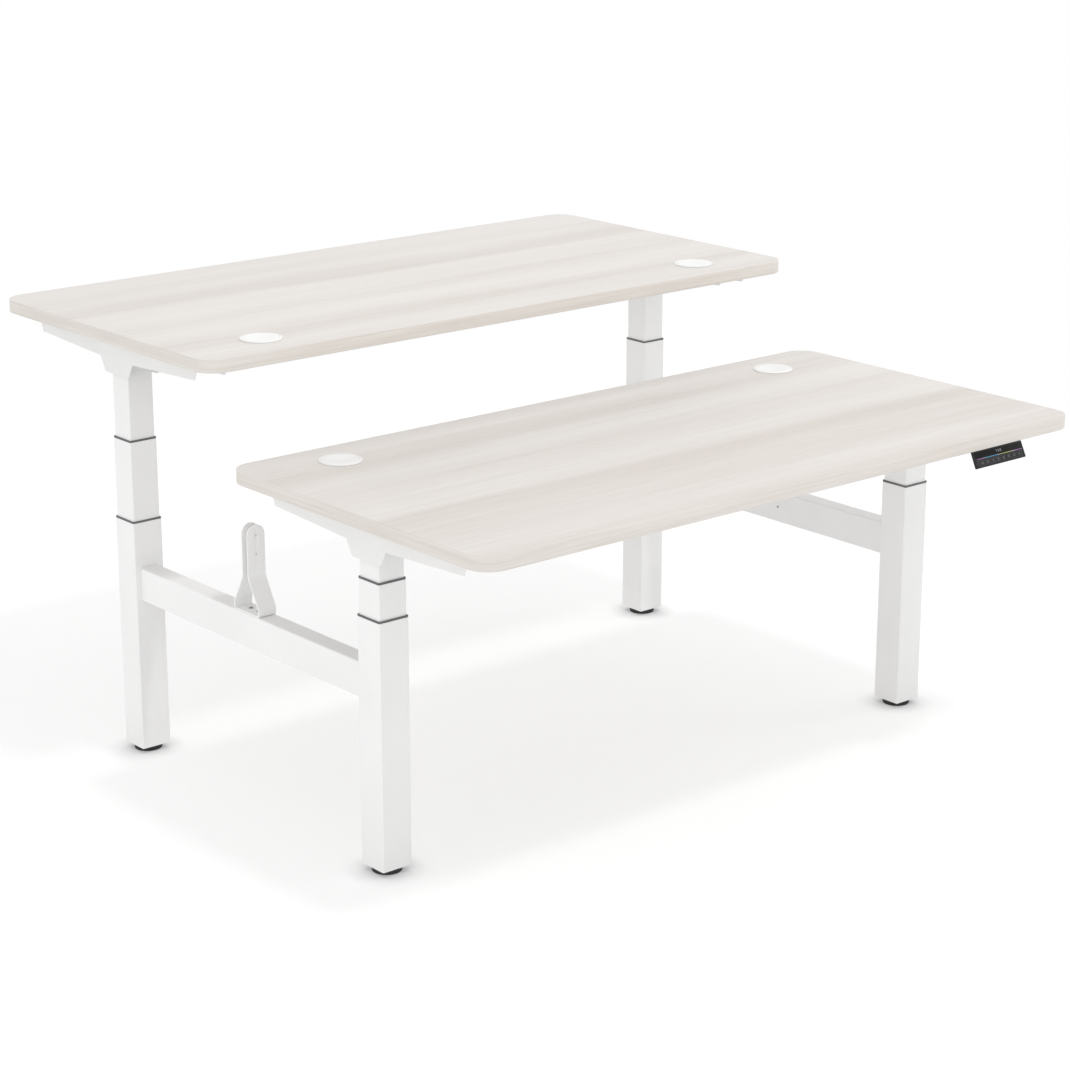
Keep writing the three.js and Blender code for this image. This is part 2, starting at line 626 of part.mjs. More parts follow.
// Columns: outer stage on the frame, middle stage half way up to the worktop
for (const side of DESKS) {
  const y = side.y * DESK_Y;
  const middleTop = OUTER_COLLAR_TOP + side.rise - COLLAR_HEIGHT;
  const middleBottom = middleTop - MIDDLE_TUBE_LENGTH;
  for (const end of ENDS) {
    const x = end.x * COLUMN_X;
    const place = `${side.name}_${end.name}`;
    const outerCollar = glideCollar(OUTER_TUBE_WIDTH, MIDDLE_TUBE_WIDTH);
    const middleCollar = glideCollar(MIDDLE_TUBE_WIDTH, INNER_TUBE_WIDTH);
    addPiece(desk, `levelling_foot_${place}`, levellingFoot(), 'blackFoot', x, y, 0);
    addPiece(desk, `outer_tube_${place}`, outerTube(), 'powderCoat', x, y, FOOT_HEIGHT);
    addPiece(desk, `outer_collar_${place}`, outerCollar, 'glideCollar', x, y, OUTER_TUBE_TOP + SEAT_GAP);
    addPiece(desk, `middle_tube_${place}`, middleTube(), 'powderCoat', x, y, middleBottom);
    addPiece(desk, `middle_collar_${place}`, middleCollar, 'glideCollar', x, y, middleTop + SEAT_GAP);
  }
}

// Desks: each is built about its own column line, with Z = 0 at the worktop's underside
for (const side of DESKS) {
  const group = new THREE.Group();
  group.rotation.z = side.turn;
  group.position.set(0, side.y * DESK_Y, OUTER_COLLAR_TOP + 2 * side.rise + HEAD_HEIGHT);
  desk.add(group);
  addPiece(group, `worktop_${side.name}`, worktop(), 'ashLaminate');
  for (const row of [{ name: 'user', y: -1 }, { name: 'back', y: 1 }]) {
    const railY = row.y * RAIL_OFFSET;
    const railZ = -SEAT_GAP - RAIL_HEIGHT / 2;
    addPiece(group, `cross_rail_${side.name}_${row.name}`, crossRail(), 'powderCoat', 0, railY, railZ);
  }
  addPiece(group, `control_box_${side.name}`, controlBox(), 'blackPlastic');
  const handsetX = TOP_LENGTH / 2 - HANDSET_END_INSET - HANDSET_LENGTH / 2;
  addPiece(group, `handset_${side.name}`, handset(), 'blackPlastic', handsetX, -TOP_DEPTH / 2, 0);
  addPiece(group, `handset_keypad_${side.name}`, keypad(), 'greyRubber', handsetX, -TOP_DEPTH / 2, 0);
  for (const end of ENDS) {
    const worldEnd = ENDS.find((other) => other.x === -side.y * end.x);
    const place = `${side.name}_${worldEnd.name}`;
    const x = end.x * COLUMN_X;
    const innerTube = columnTube(INNER_TUBE_WIDTH, INNER_TUBE_LENGTH);
    addPiece(group, `side_bracket_${place}`, sideBracket(), 'powderCoat', x);
    addPiece(group, `gear_motor_${place}`, gearMotor(), 'castHousing', x);
    addPiece(group, `inner_tube_${place}`, innerTube, 'powderCoat', x, 0, INNER_TUBE_BOTTOM);
    addPiece(group, `lifting_spindle_${place}`, liftingSpindle(), 'brightSteel', x, 0, SPINDLE_TOP);
    const grommet = [...grommetPlace(end), TOP_THICKNESS];
    addPiece(group, `grommet_ring_${place}`, grommetRing(), 'whitePlastic', ...grommet);
    addPiece(group, `grommet_cap_${place}`, grommetCap(), 'whitePlastic', ...grommet);
  }
}

export default desk;
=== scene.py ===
import math

import bmesh
import bpy
from mathutils import Matrix, Vector


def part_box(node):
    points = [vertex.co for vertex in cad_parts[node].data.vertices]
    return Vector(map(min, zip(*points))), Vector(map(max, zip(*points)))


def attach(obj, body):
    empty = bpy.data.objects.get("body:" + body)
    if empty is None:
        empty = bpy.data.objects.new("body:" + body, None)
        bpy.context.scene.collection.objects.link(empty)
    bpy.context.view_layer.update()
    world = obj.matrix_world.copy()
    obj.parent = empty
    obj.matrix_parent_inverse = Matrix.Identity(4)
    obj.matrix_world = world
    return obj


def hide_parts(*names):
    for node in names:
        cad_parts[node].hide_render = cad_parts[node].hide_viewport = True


# Looks of the benching desk for two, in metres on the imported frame
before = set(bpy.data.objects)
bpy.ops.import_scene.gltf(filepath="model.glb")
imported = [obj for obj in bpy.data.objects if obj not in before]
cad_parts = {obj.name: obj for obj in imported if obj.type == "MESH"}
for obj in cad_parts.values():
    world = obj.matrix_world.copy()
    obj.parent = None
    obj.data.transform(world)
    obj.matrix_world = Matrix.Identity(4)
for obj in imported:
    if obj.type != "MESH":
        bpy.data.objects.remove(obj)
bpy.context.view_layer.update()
scene = bpy.context.scene
MM = 0.001

# Camera, at the photograph's viewing angle
CAMERA_PLACE = (-3.6462, -4.3389, 2.1571)
CAMERA_TILT = math.radians(90 - 16.88)
CAMERA_TURN = math.radians(-40.145)
CAMERA_LENS = 91.635
CAMERA_SENSOR = 36

# Floor and light; each lamp has a name, a place, a size and a power
FLOOR_HALF = 3.0
FLOOR_WHITE = 0.94
FLOOR_SHADE = 0.484
FLOOR_LIFT = 0.55
# Painted contact shade on the floor: how far it reaches and how dark it gets
CONTACT_REACH = 55 * MM
CONTACT_SHADE = 0.6
AMBIENT = 0.86
LAMP_TARGET = (0, 0, 0.5)
LAMPS = (
    ("key", (0.39, -3.28, 7.0), 0.6, 106),
    ("left", (-12.0, -2.5, 0.9), 4, 147),
    ("right", (9.0, -3.0, 7.0), 4, 106),
)

# Fineness of the meshes
ARC_STEPS = 10
QUARTER_STEPS = 5
ROUND_STEPS = 64
SMALL_ROUND_STEPS = 24
SMOOTH_ANGLE = math.radians(50)
WELD_DISTANCE = 0.001 * MM
NODE_WELD_DISTANCE = 0.005 * MM
NODE_EDGE_STEPS = 2

# Worktops; a face whose normal rises less than the limit is upright
TOP_CORNER_RADIUS = 50 * MM
TOP_CORNER_STEPS = 24
TOP_EDGE_EASE = 1.5 * MM
UPRIGHT_LIMIT = 0.5

# Cable grommets
GROMMET_HOLE_RADIUS = 40 * MM
GROMMET_SLEEVE_OUTSIDE = 39.7 * MM
GROMMET_SLEEVE_INSIDE = 36.2 * MM
GROMMET_RECESS_RADIUS = 38.7 * MM
GROMMET_RECESS_ROUND = 0.4 * MM
GROMMET_FLANGE_RADIUS = 44 * MM
GROMMET_FLANGE_HEIGHT = 2.5 * MM
GROMMET_FLANGE_ROUND = 1.6 * MM
GROMMET_LIP_DROP = 6.8 * MM
CAP_RADIUS = 38.4 * MM
CAP_THICKNESS = 6.5 * MM
CAP_ROUND = 0.7 * MM
CAP_STEPS = 96
DISH_RADIUS = 31 * MM
DISH_DEPTH = 4.5 * MM
DISH_RIM_ROUND = 1.5 * MM
DISH_RIM_DROP = 0.05 * MM
DISH_RINGS = 24

# Levelling feet
FOOT_ROUND = 1.8 * MM
FOOT_GROOVE = 0.7 * MM
FOOT_GROOVE_HEIGHT = 4.4 * MM
FOOT_PAD_TOP = 12.2 * MM
FOOT_STEPS = 48
STUD_RADIUS = 5 * MM
STUD_ROOT_RADIUS = 4.3 * MM
STUD_PITCH = 1.5 * MM
STUD_ROOT_SHARE = 0.2
STUD_CREST_SHARE = 0.7

# Screen brackets, as a flat strip and the line that it is bent along
STRIP_SHEET = 3 * MM
STRIP_WIDTH = 42 * MM
STRIP_EASE = 0.35 * MM
STRIP_HEIGHT = 184 * MM
STRIP_NECK_HEIGHT = 76 * MM
STRIP_SHOULDER_HEIGHT = 17 * MM
STRIP_FOOT_HALF = 42 * MM
STRIP_SLOT = 16 * MM
STRIP_FOOT_BEND = 2.5 * MM
STRIP_NECK_BEND = 19 * MM
STRIP_BEND_CUTS = 8
STRIP_CUT_REACH = 0.0001 * MM
STRIP_HOLE_RADIUS = 3.2 * MM
STRIP_HOLE_DROPS = (21.5 * MM, 61.5 * MM)
STRIP_SCREW_PITCH = 28 * MM
STRIP_SCREW_RADIUS = 4.8 * MM

# Screws: the head's dome and socket as shares of their radius and of the head's height
SCREW_SHANK_LENGTH = 1.5 * MM
SCREW_SHANK_SHARE = 0.55
SCREW_HEIGHT_SHARE = 0.5
SCREW_SOCKET_SHARE = 0.48
SCREW_DOME = ((1.0, 0.0), (1.0, 0.25), (0.94, 0.6), (0.8, 0.87), (0.6, 1.0))
SCREW_SOCKET = ((1.08, 1.0), (1.0, 0.92), (1.0, 0.3), (0.0, 0.3))
BEAM_SCREW_RADIUS = 2.5 * MM
BEAM_SCREW_OFFSET = 58.6 * MM
BRACKET_SCREW_RADIUS = 6.5 * MM
BRACKET_SCREW_PLACES = (-280 * MM, -200 * MM, 200 * MM, 280 * MM)
BRACKET_SHEET = 2.3 * MM
BOX_SCREW_RADIUS = 4.5 * MM
BOX_EAR_REACH = 8 * MM
BOX_EAR_SCREW = 14 * MM
BOX_EAR_DEPTH = 4.3 * MM

# Handsets: corners of their profiles on the worktop's edge, each with its radius
HANDSET_FACE_DROP = 31 * MM
HANDSET_FACE_REACH = 15.7 * MM
HANDSET_SEAT_GAP = 0.3 * MM
HANDSET_CORNER_STEPS = 6
HANDSET_END_EASE = 0.6 * MM
HANDSET_END_STEPS = 3
HANDSET_PROFILE = (
    ((0, 0), 0.7 * MM),
    ((-HANDSET_FACE_REACH, -HANDSET_FACE_DROP), 1.6 * MM),
    ((-9.2 * MM, -34.2 * MM), 2.4 * MM),
    ((6.6 * MM, 0), 0.7 * MM),
)
HANDSET_PLATE_PROFILE = (
    ((1 * MM, 0), 0.5 * MM),
    ((1 * MM, -10 * MM), 0.5 * MM),
    ((46 * MM, -10 * MM), 1.5 * MM),
    ((46 * MM, 0), 0.7 * MM),
)
HANDSET_PLATE_LENGTH = 90 * MM

# Key mat, in its pocket on the handset's face
KEYPAD_LENGTH = 138 * MM
KEYPAD_WIDTH = 15 * MM
KEYPAD_THICKNESS = 2.4 * MM
KEYPAD_CORNER_RADIUS = 2 * MM
KEYPAD_EASE = 0.25 * MM
KEYPAD_OFFSET = 8 * MM
KEYPAD_POCKET_GAP = 0.3 * MM
KEYPAD_POCKET_DEPTH = 3.5 * MM
KEYPAD_POCKET_EASE = 0.1 * MM
KEY_COUNT = 8
KEY_PITCH = 16.34 * MM
KEY_LENGTH = 13 * MM
KEY_WIDTH = 9 * MM
KEY_RISE = 0.6 * MM
KEY_EASE = 0.3 * MM
MARK_SINK = 0.1 * MM
MARK_RISE = 0.06 * MM
MARK_SIZE = 2.4 * MM
MARK_STROKE = 0.55 * MM
MARK_ARROW_SHARE = 0.6
MARK_DIGIT_WIDTH = 2.6 * MM
MARK_DIGIT_HEIGHT = 5.2 * MM
MARK_RING_STROKE = 0.44 * MM
MARK_RING_STEPS = 16

# Display with its digits, and the line of light below it
DISPLAY_LENGTH = 146 * MM
DISPLAY_WIDTH = 13 * MM
DISPLAY_THICKNESS = 0.5 * MM
DISPLAY_CORNER_RADIUS = 1.2 * MM
DISPLAY_EASE = 0.2 * MM
DISPLAY_OFFSET = 9.4 * MM
DIGIT_PITCH = 6.2 * MM
DIGIT_WIDTH = 3 * MM
DIGIT_HEIGHT = 4.4 * MM
DIGIT_STROKE = 0.5 * MM
DIGIT_GAP_SHARE = 0.75
DIGIT_BARS = {"1": "bc", "2": "abged", "3": "abgcd", "4": "fgbc", "7": "abc", "9": "abcdfg"}
DIGIT_RISE = 0.08 * MM
DIGIT_LIFT = 0.24 * MM
LIGHT_LINE_WIDTH = 0.9 * MM
LIGHT_LINE_THICKNESS = 0.4 * MM
LIGHT_LINE_CORNER_RADIUS = 0.3 * MM
LIGHT_LINE_EASE = 0.1 * MM
LIGHT_LINE_OFFSET = 1.1 * MM
LIGHT_LINE_LIFT = 0.1 * MM

# Tones of the wood; each band has a place from back edge (0) to front edge (1) and a tone from dark to pale
DARK_ASH = (0.652, 0.603, 0.557)
PALE_ASH = (0.760, 0.730, 0.702)
DARK_EDGING = (0.705, 0.658, 0.611)
PALE_EDGING = (0.788, 0.757, 0.720)
EDGING_SHADE = (0.97, 0.96, 0.95)
PORE_SHADE = (0.93, 0.92, 0.91)
UNSHADED = (1.0, 1.0, 1.0)
WOOD_SPECULAR = 0.35
BAND_WANDER = 14 * MM
CLOUD_SHARE = 0.55
STREAK_SHARE = 0.4
# Front board: near its back edge the bands are partly painted light, made paler against the shade that the
# rear worktop casts there; the rest is the wood's own tone
FRONT_BANDS_AND_PAINTED_LIGHT = (
    (0.00, 0.79), (0.08, 0.79), (0.18, 0.36), (0.30, 0.99), (0.39, 0.49), (0.53, 0.74), (0.58, 0.67),
    (0.62, 0.10), (0.69, 0.19), (0.76, 0.36), (0.83, 0.35), (0.91, 0.66), (1.00, 0.37),
)
REAR_BANDS = (
    (0.00, 0.52), (0.08, 1.00), (0.18, 0.32), (0.26, 0.78), (0.33, 0.97), (0.41, 0.53), (0.50, 0.80),
    (0.58, 1.00), (0.63, 0.34), (0.69, 0.48), (0.75, 0.76), (0.83, 0.60), (0.91, 1.00), (1.00, 1.00),
)

# Colours along the line of light, from its left end (0) to its right end (1)
LIGHT_LINE_TONES = (
    (0.00, (0.34, 0.10, 0.36)),
    (0.13, (0.36, 0.16, 0.42)),
    (0.20, (0.10, 0.34, 0.52)),
    (0.42, (0.05, 0.32, 0.58)),
    (0.50, (0.42, 0.42, 0.40)),
    (0.56, (0.36, 0.42, 0.05)),
    (0.72, (0.44, 0.50, 0.10)),
    (0.80, (0.50, 0.46, 0.46)),
    (0.88, (0.36, 0.15, 0.42)),
    (1.00, (0.32, 0.14, 0.42)),
)

# Range that most of a noise texture lies in, and the depth of fine bumps
NOISE_LOW = 0.3
NOISE_HIGH = 0.7
FINE_BUMP = 0.1 * MM


# Nodes and materials
def add_node(tree, kind, inputs=(), **settings):
    """Adds a node with its settings, and links or sets its inputs."""
    node = tree.nodes.new(kind)
    for key, value in settings.items():
        setattr(node, key, value)
    for socket, value in dict(inputs).items():
        if isinstance(value, bpy.types.NodeSocket):
            tree.links.new(value, node.inputs[socket])
        else:
            node.inputs[socket].default_value = value
    return node


def first_output(tree, kind, inputs=(), **settings):
    return add_node(tree, kind, inputs, **settings).outputs[0]


class Finish:
    """A procedural material on object coordinates, so that its pattern rides with the piece."""

    def __init__(self, name, **sockets):
        self.material = bpy.data.materials.new(name)
        self.material.use_nodes = True
        self.tree = self.material.node_tree
        self.surface = self.tree.nodes["Principled BSDF"]
        for socket, value in sockets.items():
            self.surface.inputs[socket.replace("_", " ")].default_value = value

    def node(self, kind, inputs=(), **settings):
        return add_node(self.tree, kind, inputs, **settings)

    def feed(self, socket, value):
        self.tree.links.new(value, self.surface.inputs[socket])

    def place(self, stretch=(1, 1, 1)):
        coordinates = self.node("ShaderNodeTexCoord").outputs["Object"]
        return self.node("ShaderNodeMapping", {"Vector": coordinates, "Scale": stretch}).outputs["Vector"]

    def along(self, axis):
        return self.node("ShaderNodeSeparateXYZ", {"Vector": self.place()}).outputs[axis]

    def share(self, value, start, end):
        """How far a value lies from start (0) to end (1)."""
        inputs = {"Value": value, "From Min": start, "From Max": end}
        return self.node("ShaderNodeMapRange", inputs).outputs["Result"]

    def noise(self, scale, detail=2.0, stretch=(1, 1, 1), roughness=0.5, distortion=0.0):
        inputs = {
            "Vector": self.place(stretch),
            "Scale": scale,
            "Detail": detail,
            "Roughness": roughness,
            "Distortion": distortion,
        }
        return self.node("ShaderNodeTexNoise", inputs).outputs[0]

    def ramp(self, factor, stops):
        node = self.node("ShaderNodeValToRGB", {"Fac": factor})
        elements = node.color_ramp.elements
        while len(elements) < len(stops):
            elements.new(1)
        for element, (position, color) in zip(elements, stops):
            element.position = position
            element.color = (*color, 1)
        return node.outputs["Color"]

    def tone(self, noise, dark, pale):
        return self.ramp(noise, ((NOISE_LOW, dark), (NOISE_HIGH, pale)))

    def mix(self, factor, first, second, blend):
        inputs = {0: factor, 6: first, 7: second}
        return self.node("ShaderNodeMix", inputs, data_type="RGBA", blend_type=blend).outputs[2]

    def remap(self, noise, low, high):
        inputs = {
            "Value": noise,
            "From Min": NOISE_LOW,
            "From Max": NOISE_HIGH,
            "To Min": low,
            "To Max": high,
        }
        return self.node("ShaderNodeMapRange", inputs).outputs["Result"]

    def bump(self, height, strength, distance=FINE_BUMP):
        inputs = {"Height": height, "Strength": strength, "Distance": distance}
        self.feed("Normal", self.node("ShaderNodeBump", inputs).outputs["Normal"])


def coated(name, dark, pale, roughness, grain, strength, depth=FINE_BUMP, **sockets):
    """A finish with a slow change of tone and a fine texture: powder coat, moulded plastic, cast metal."""
    finish = Finish(name, **sockets)
    texture = finish.noise(grain, detail=3.0)
    finish.feed("Base Color", finish.tone(finish.noise(5.0, detail=4.0), dark, pale))
    finish.feed("Roughness", finish.remap(texture, *roughness))
    finish.bump(texture, strength, depth)
    return finish.material


def ash_laminate(desk, bands):
    """Pale ash: broad bands between the board's back and front edge, with streaks and pores along it."""
    low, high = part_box(f"worktop_{desk}")
    back, front = sorted((low.y, high.y), key=abs)
    finish = Finish(f"ash_laminate_{desk}", Specular_IOR_Level=WOOD_SPECULAR)
    wave = finish.noise(1.0, detail=3.0, stretch=(1.1, 5.0, 5.0))
    wander = finish.remap(wave, -BAND_WANDER, BAND_WANDER)
    wandered = finish.node("ShaderNodeMath", {0: finish.along("Y"), 1: wander}).outputs[0]
    across = finish.share(wandered, back, front)
    band = finish.ramp(across, [(position, (tone, tone, tone)) for position, tone in bands])
    clouds = finish.noise(1.0, detail=5.0, stretch=(0.7, 9.0, 9.0), roughness=0.56, distortion=0.5)
    clouded = finish.mix(CLOUD_SHARE, band, clouds, "LINEAR_LIGHT")
    streaks = finish.noise(1.0, detail=4.0, stretch=(2.2, 95, 95), roughness=0.6, distortion=0.3)
    streaked = finish.mix(STREAK_SHARE, clouded, streaks, "LINEAR_LIGHT")
    wood = finish.ramp(streaked, ((0.0, DARK_ASH), (1.0, PALE_ASH)))
    pores = finish.noise(1.0, stretch=(22, 820, 820))
    pore_tone = finish.ramp(pores, ((0.28, PORE_SHADE), (0.42, UNSHADED)))
    finish.feed("Base Color", finish.mix(1.0, wood, pore_tone, "MULTIPLY"))
    finish.feed("Roughness", finish.remap(streaks, 0.52, 0.42))
    finish.bump(pores, 0.12)
    return finish.material


def ash_edging():
    finish = Finish("ash_edging", Specular_IOR_Level=WOOD_SPECULAR)
    lines = finish.noise(1.0, detail=4.0, stretch=(3.5, 3.5, 190), roughness=0.6, distortion=0.4)
    blotches = finish.noise(4.0, detail=3.0)
    shade = finish.ramp(blotches, ((0.35, EDGING_SHADE), (0.65, UNSHADED)))
    tone = finish.tone(lines, DARK_EDGING, PALE_EDGING)
    finish.feed("Base Color", finish.mix(1.0, tone, shade, "MULTIPLY"))
    finish.feed("Roughness", finish.remap(lines, 0.55, 0.45))
    finish.bump(lines, 0.08)
    return finish.material


def threaded_steel():
    finish = Finish("spindle_steel", Metallic=1.0)
    inputs = {"Vector": finish.place((0, 0, 1)), "Scale": 20.0}
    thread = finish.node("ShaderNodeTexWave", inputs, bands_direction="Z").outputs["Fac"]
    smudge = finish.noise(40.0, detail=3.0)
    finish.feed("Base Color", finish.tone(smudge, (0.48, 0.49, 0.50), (0.62, 0.63, 0.64)))
    finish.feed("Roughness", finish.remap(smudge, 0.22, 0.38))
    finish.bump(thread, 0.6, 1 * MM)
    return finish.material


def display_gloss():
    finish = Finish("display_gloss", Specular_IOR_Level=0.15)
    haze = finish.noise(60.0, detail=4.0)
    finish.feed("Base Color", finish.tone(haze, (0.005, 0.005, 0.005), (0.010, 0.010, 0.010)))
    finish.feed("Roughness", finish.remap(haze, 0.10, 0.20))
    return finish.material


def display_light():
    finish = Finish("display_light", Roughness=0.4, Emission_Strength=0.12)
    tone = finish.tone(finish.noise(900.0, detail=1.0), (0.42, 0.44, 0.46), (0.52, 0.54, 0.56))
    finish.feed("Base Color", tone)
    finish.feed("Emission Color", tone)
    return finish.material


def light_line(name, start, end):
    """Colours that run along the line of light, from start to end on X."""
    finish = Finish(name, Roughness=0.3, Emission_Strength=0.35)
    tone = finish.ramp(finish.share(finish.along("X"), start, end), LIGHT_LINE_TONES)
    finish.feed("Base Color", tone)
    finish.feed("Emission Color", tone)
    return finish.material


POWDER_COAT = coated(
    "powder_coat", dark=(0.885, 0.885, 0.88), pale=(0.925, 0.925, 0.92),
    roughness=(0.42, 0.56), grain=850, strength=0.10)
# Painted shade: the side brackets get the frame's powder coat made darker, for the shade under the worktop's
# overhang
SHADED_BRACKET_COAT = coated(
    "bracket_coat_painted_shade", dark=(0.83, 0.83, 0.825), pale=(0.87, 0.87, 0.865),
    roughness=(0.42, 0.56), grain=850, strength=0.10)
ASH_LAMINATE = {
    "front": ash_laminate("front", FRONT_BANDS_AND_PAINTED_LIGHT),
    "rear": ash_laminate("rear", REAR_BANDS),
}
ASH_EDGING = ash_edging()
GLIDE_COLLAR = coated(
    "glide_collar", dark=(0.115, 0.115, 0.117), pale=(0.145, 0.145, 0.147),
    roughness=(0.5, 0.7), grain=1200, strength=0.15)
BLACK_FOOT = coated(
    "black_foot", dark=(0.018, 0.018, 0.018), pale=(0.032, 0.032, 0.032),
    roughness=(0.6, 0.85), grain=700, strength=0.25)
WHITE_PLASTIC = coated(
    "white_plastic", dark=(0.85, 0.85, 0.84), pale=(0.88, 0.88, 0.87),
    roughness=(0.3, 0.42), grain=1500, strength=0.05)
HANDSET_SHELL = coated(
    "handset_shell", dark=(0.014, 0.014, 0.015), pale=(0.022, 0.022, 0.023),
    roughness=(0.32, 0.5), grain=2200, strength=0.12, Specular_IOR_Level=0.25)
KEY_MAT = coated(
    "key_mat", dark=(0.030, 0.030, 0.032), pale=(0.042, 0.042, 0.044),
    roughness=(0.55, 0.75), grain=1800, strength=0.15, Specular_IOR_Level=0.25)
KEY_MARK = coated(
    "key_mark", dark=(0.24, 0.24, 0.25), pale=(0.34, 0.34, 0.35),
    roughness=(0.5, 0.7), grain=1800, strength=0.05)
BLACK_HOUSING = coated(
    "black_housing", dark=(0.014, 0.014, 0.015), pale=(0.026, 0.026, 0.027),
    roughness=(0.45, 0.65), grain=1100, strength=0.25)
DRIVE_HOUSING = coated(
    "drive_housing", dark=(0.36, 0.365, 0.37), pale=(0.47, 0.475, 0.48),
    roughness=(0.38, 0.55), grain=420, strength=0.3, depth=0.3 * MM, Metallic=0.9)
SCREW_STEEL = coated(
    "screw_steel", dark=(0.28, 0.28, 0.282), pale=(0.38, 0.38, 0.382),
    roughness=(0.32, 0.5), grain=600, strength=0.1, Metallic=0.7)
SPINDLE_STEEL = threaded_steel()
DISPLAY_GLOSS = display_gloss()
DISPLAY_LIGHT = display_light()


# Pieces and outlines
def add_piece(name, mesh, materials, body, replaced=()):
    """Makes an object of a mesh in world place, on the body that carries it."""
    mesh.materials.clear()
    for material in materials:
        mesh.materials.append(material)
    mesh.shade_smooth()
    mesh.set_sharp_from_angle(angle=SMOOTH_ANGLE)
    piece = bpy.data.objects.new(name, mesh)
    scene.collection.objects.link(piece)
    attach(piece, body)
    if replaced:
        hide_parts(*replaced)


def mesh_of(builder):
    """Closes a bmesh into a mesh with its faces turned outwards."""
    bmesh.ops.recalc_face_normals(builder, faces=builder.faces)
    if builder.calc_volume(signed=True) < 0:
        bmesh.ops.reverse_faces(builder, faces=builder.faces)
    mesh = bpy.data.meshes.new("piece")
    builder.to_mesh(mesh)
    builder.free()
    return mesh


def builder_of(mesh):
    builder = bmesh.new()
    builder.from_mesh(mesh)
    bpy.data.meshes.remove(mesh)
    return builder


def joined(meshes):
    builder = bmesh.new()
    for mesh in meshes:
        builder.from_mesh(mesh)
        bpy.data.meshes.remove(mesh)
    return mesh_of(builder)


def moved(mesh, matrix):
    mesh.transform(matrix)
    return mesh


def circle(radius, x=0.0, y=0.0, steps=ROUND_STEPS):
    angles = [step * (2 * math.pi / steps) for step in range(steps)]
    return [(x + radius * math.cos(angle), y + radius * math.sin(angle)) for angle in angles]


def quarter(radius, height, size, start):
    """Points of a quarter round about (radius, height), turning a quarter back from the start angle."""
    angles = [math.radians(start - 90 * step / QUARTER_STEPS) for step in range(QUARTER_STEPS + 1)]
    return [(radius + size * math.cos(angle), height + size * math.sin(angle)) for angle in angles]


def rounded(corners, steps=ARC_STEPS):
    """A closed outline whose corners, given as (point, radius), are rounded by arcs."""
    points = []
    for index, (corner, radius) in enumerate(corners):
        here = Vector(corner)
        back = (Vector(corners[index - 1][0]) - here).normalized()
        ahead = (Vector(corners[(index + 1) % len(corners)][0]) - here).normalized()
        half = back.angle(ahead) / 2
        centre = here + (back + ahead).normalized() * (radius / math.sin(half))
        first = here + back * (radius / math.tan(half)) - centre
        last = here + ahead * (radius / math.tan(half)) - centre
        sweep = first.angle_signed(last)
        for step in range(steps + 1):
            turned = first.copy()
            turned.rotate(Matrix.Rotation(-sweep * step / steps, 2))
            points.append(tuple(centre + turned))
    return points


def rounded_rectangle(width, depth, radius, steps=ARC_STEPS):
    x = width / 2
    y = depth / 2
    return rounded([((-x, -y), radius), ((x, -y), radius), ((x, y), radius), ((-x, y), radius)], steps)


def plate(outlines, thickness, ease, ease_steps=3):
    """A plate about Z = 0 from an outline and its holes, with eased edges."""
    curve = bpy.data.curves.new("outline", "CURVE")
    curve.dimensions = "2D"
    curve.fill_mode = "BOTH"
    curve.extrude = thickness / 2 - ease
    curve.bevel_depth = ease
    curve.bevel_resolution = ease_steps
    curve.offset = -ease
    for points in outlines:
        spline = curve.splines.new("POLY")
        spline.points.add(len(points) - 1)
        for point, (x, y) in zip(spline.points, points):
            point.co = (x, y, 0, 1)
        spline.use_cyclic_u = True
    holder = bpy.data.objects.new("outline", curve)
    scene.collection.objects.link(holder)
    shown = holder.evaluated_get(bpy.context.evaluated_depsgraph_get())
    mesh = bpy.data.meshes.new_from_object(shown)
    bpy.data.objects.remove(holder)
    bpy.data.curves.remove(curve)
    builder = builder_of(mesh)
    bmesh.ops.remove_doubles(builder, verts=builder.verts, dist=WELD_DISTANCE)
    return mesh_of(builder)


def lathe(profile, steps=ROUND_STEPS):
    """A solid of revolution about Z from points (radius, height)."""
    builder = bmesh.new()
    rings = []
    for radius, height in profile:
        if radius < WELD_DISTANCE:
            rings.append([builder.verts.new((0, 0, height))])
        else:
            rings.append([builder.verts.new((x, y, height)) for x, y in circle(radius, steps=steps)])
    for lower, upper in zip(rings, rings[1:]):
        for step in range(steps):
            after = (step + 1) % steps
            corners = [lower[step % len(lower)], lower[after % len(lower)]]
            corners += [upper[after % len(upper)], upper[step % len(upper)]]
            builder.faces.new(dict.fromkeys(corners))
    bmesh.ops.remove_doubles(builder, verts=builder.verts, dist=WELD_DISTANCE)
    return mesh_of(builder)


def bar(builder, start, end, width, low, high):
    """A straight mark from start to end, with its ends cut square."""
    start = Vector(start)
    end = Vector(end)
    along = (end - start).normalized() * (width / 2)
    across = Vector((-along.y, along.x))
    corners = [start - along + across, end + along + across, end + along - across, start - along - across]
    below = [builder.verts.new((*corner, low)) for corner in corners]
    above = [builder.verts.new((*corner, high)) for corner in corners]
    builder.faces.new(above)
    builder.faces.new(below[::-1])
    for side in range(4):
        after = (side + 1) % 4
        builder.faces.new((below[side], below[after], above[after], above[side]))


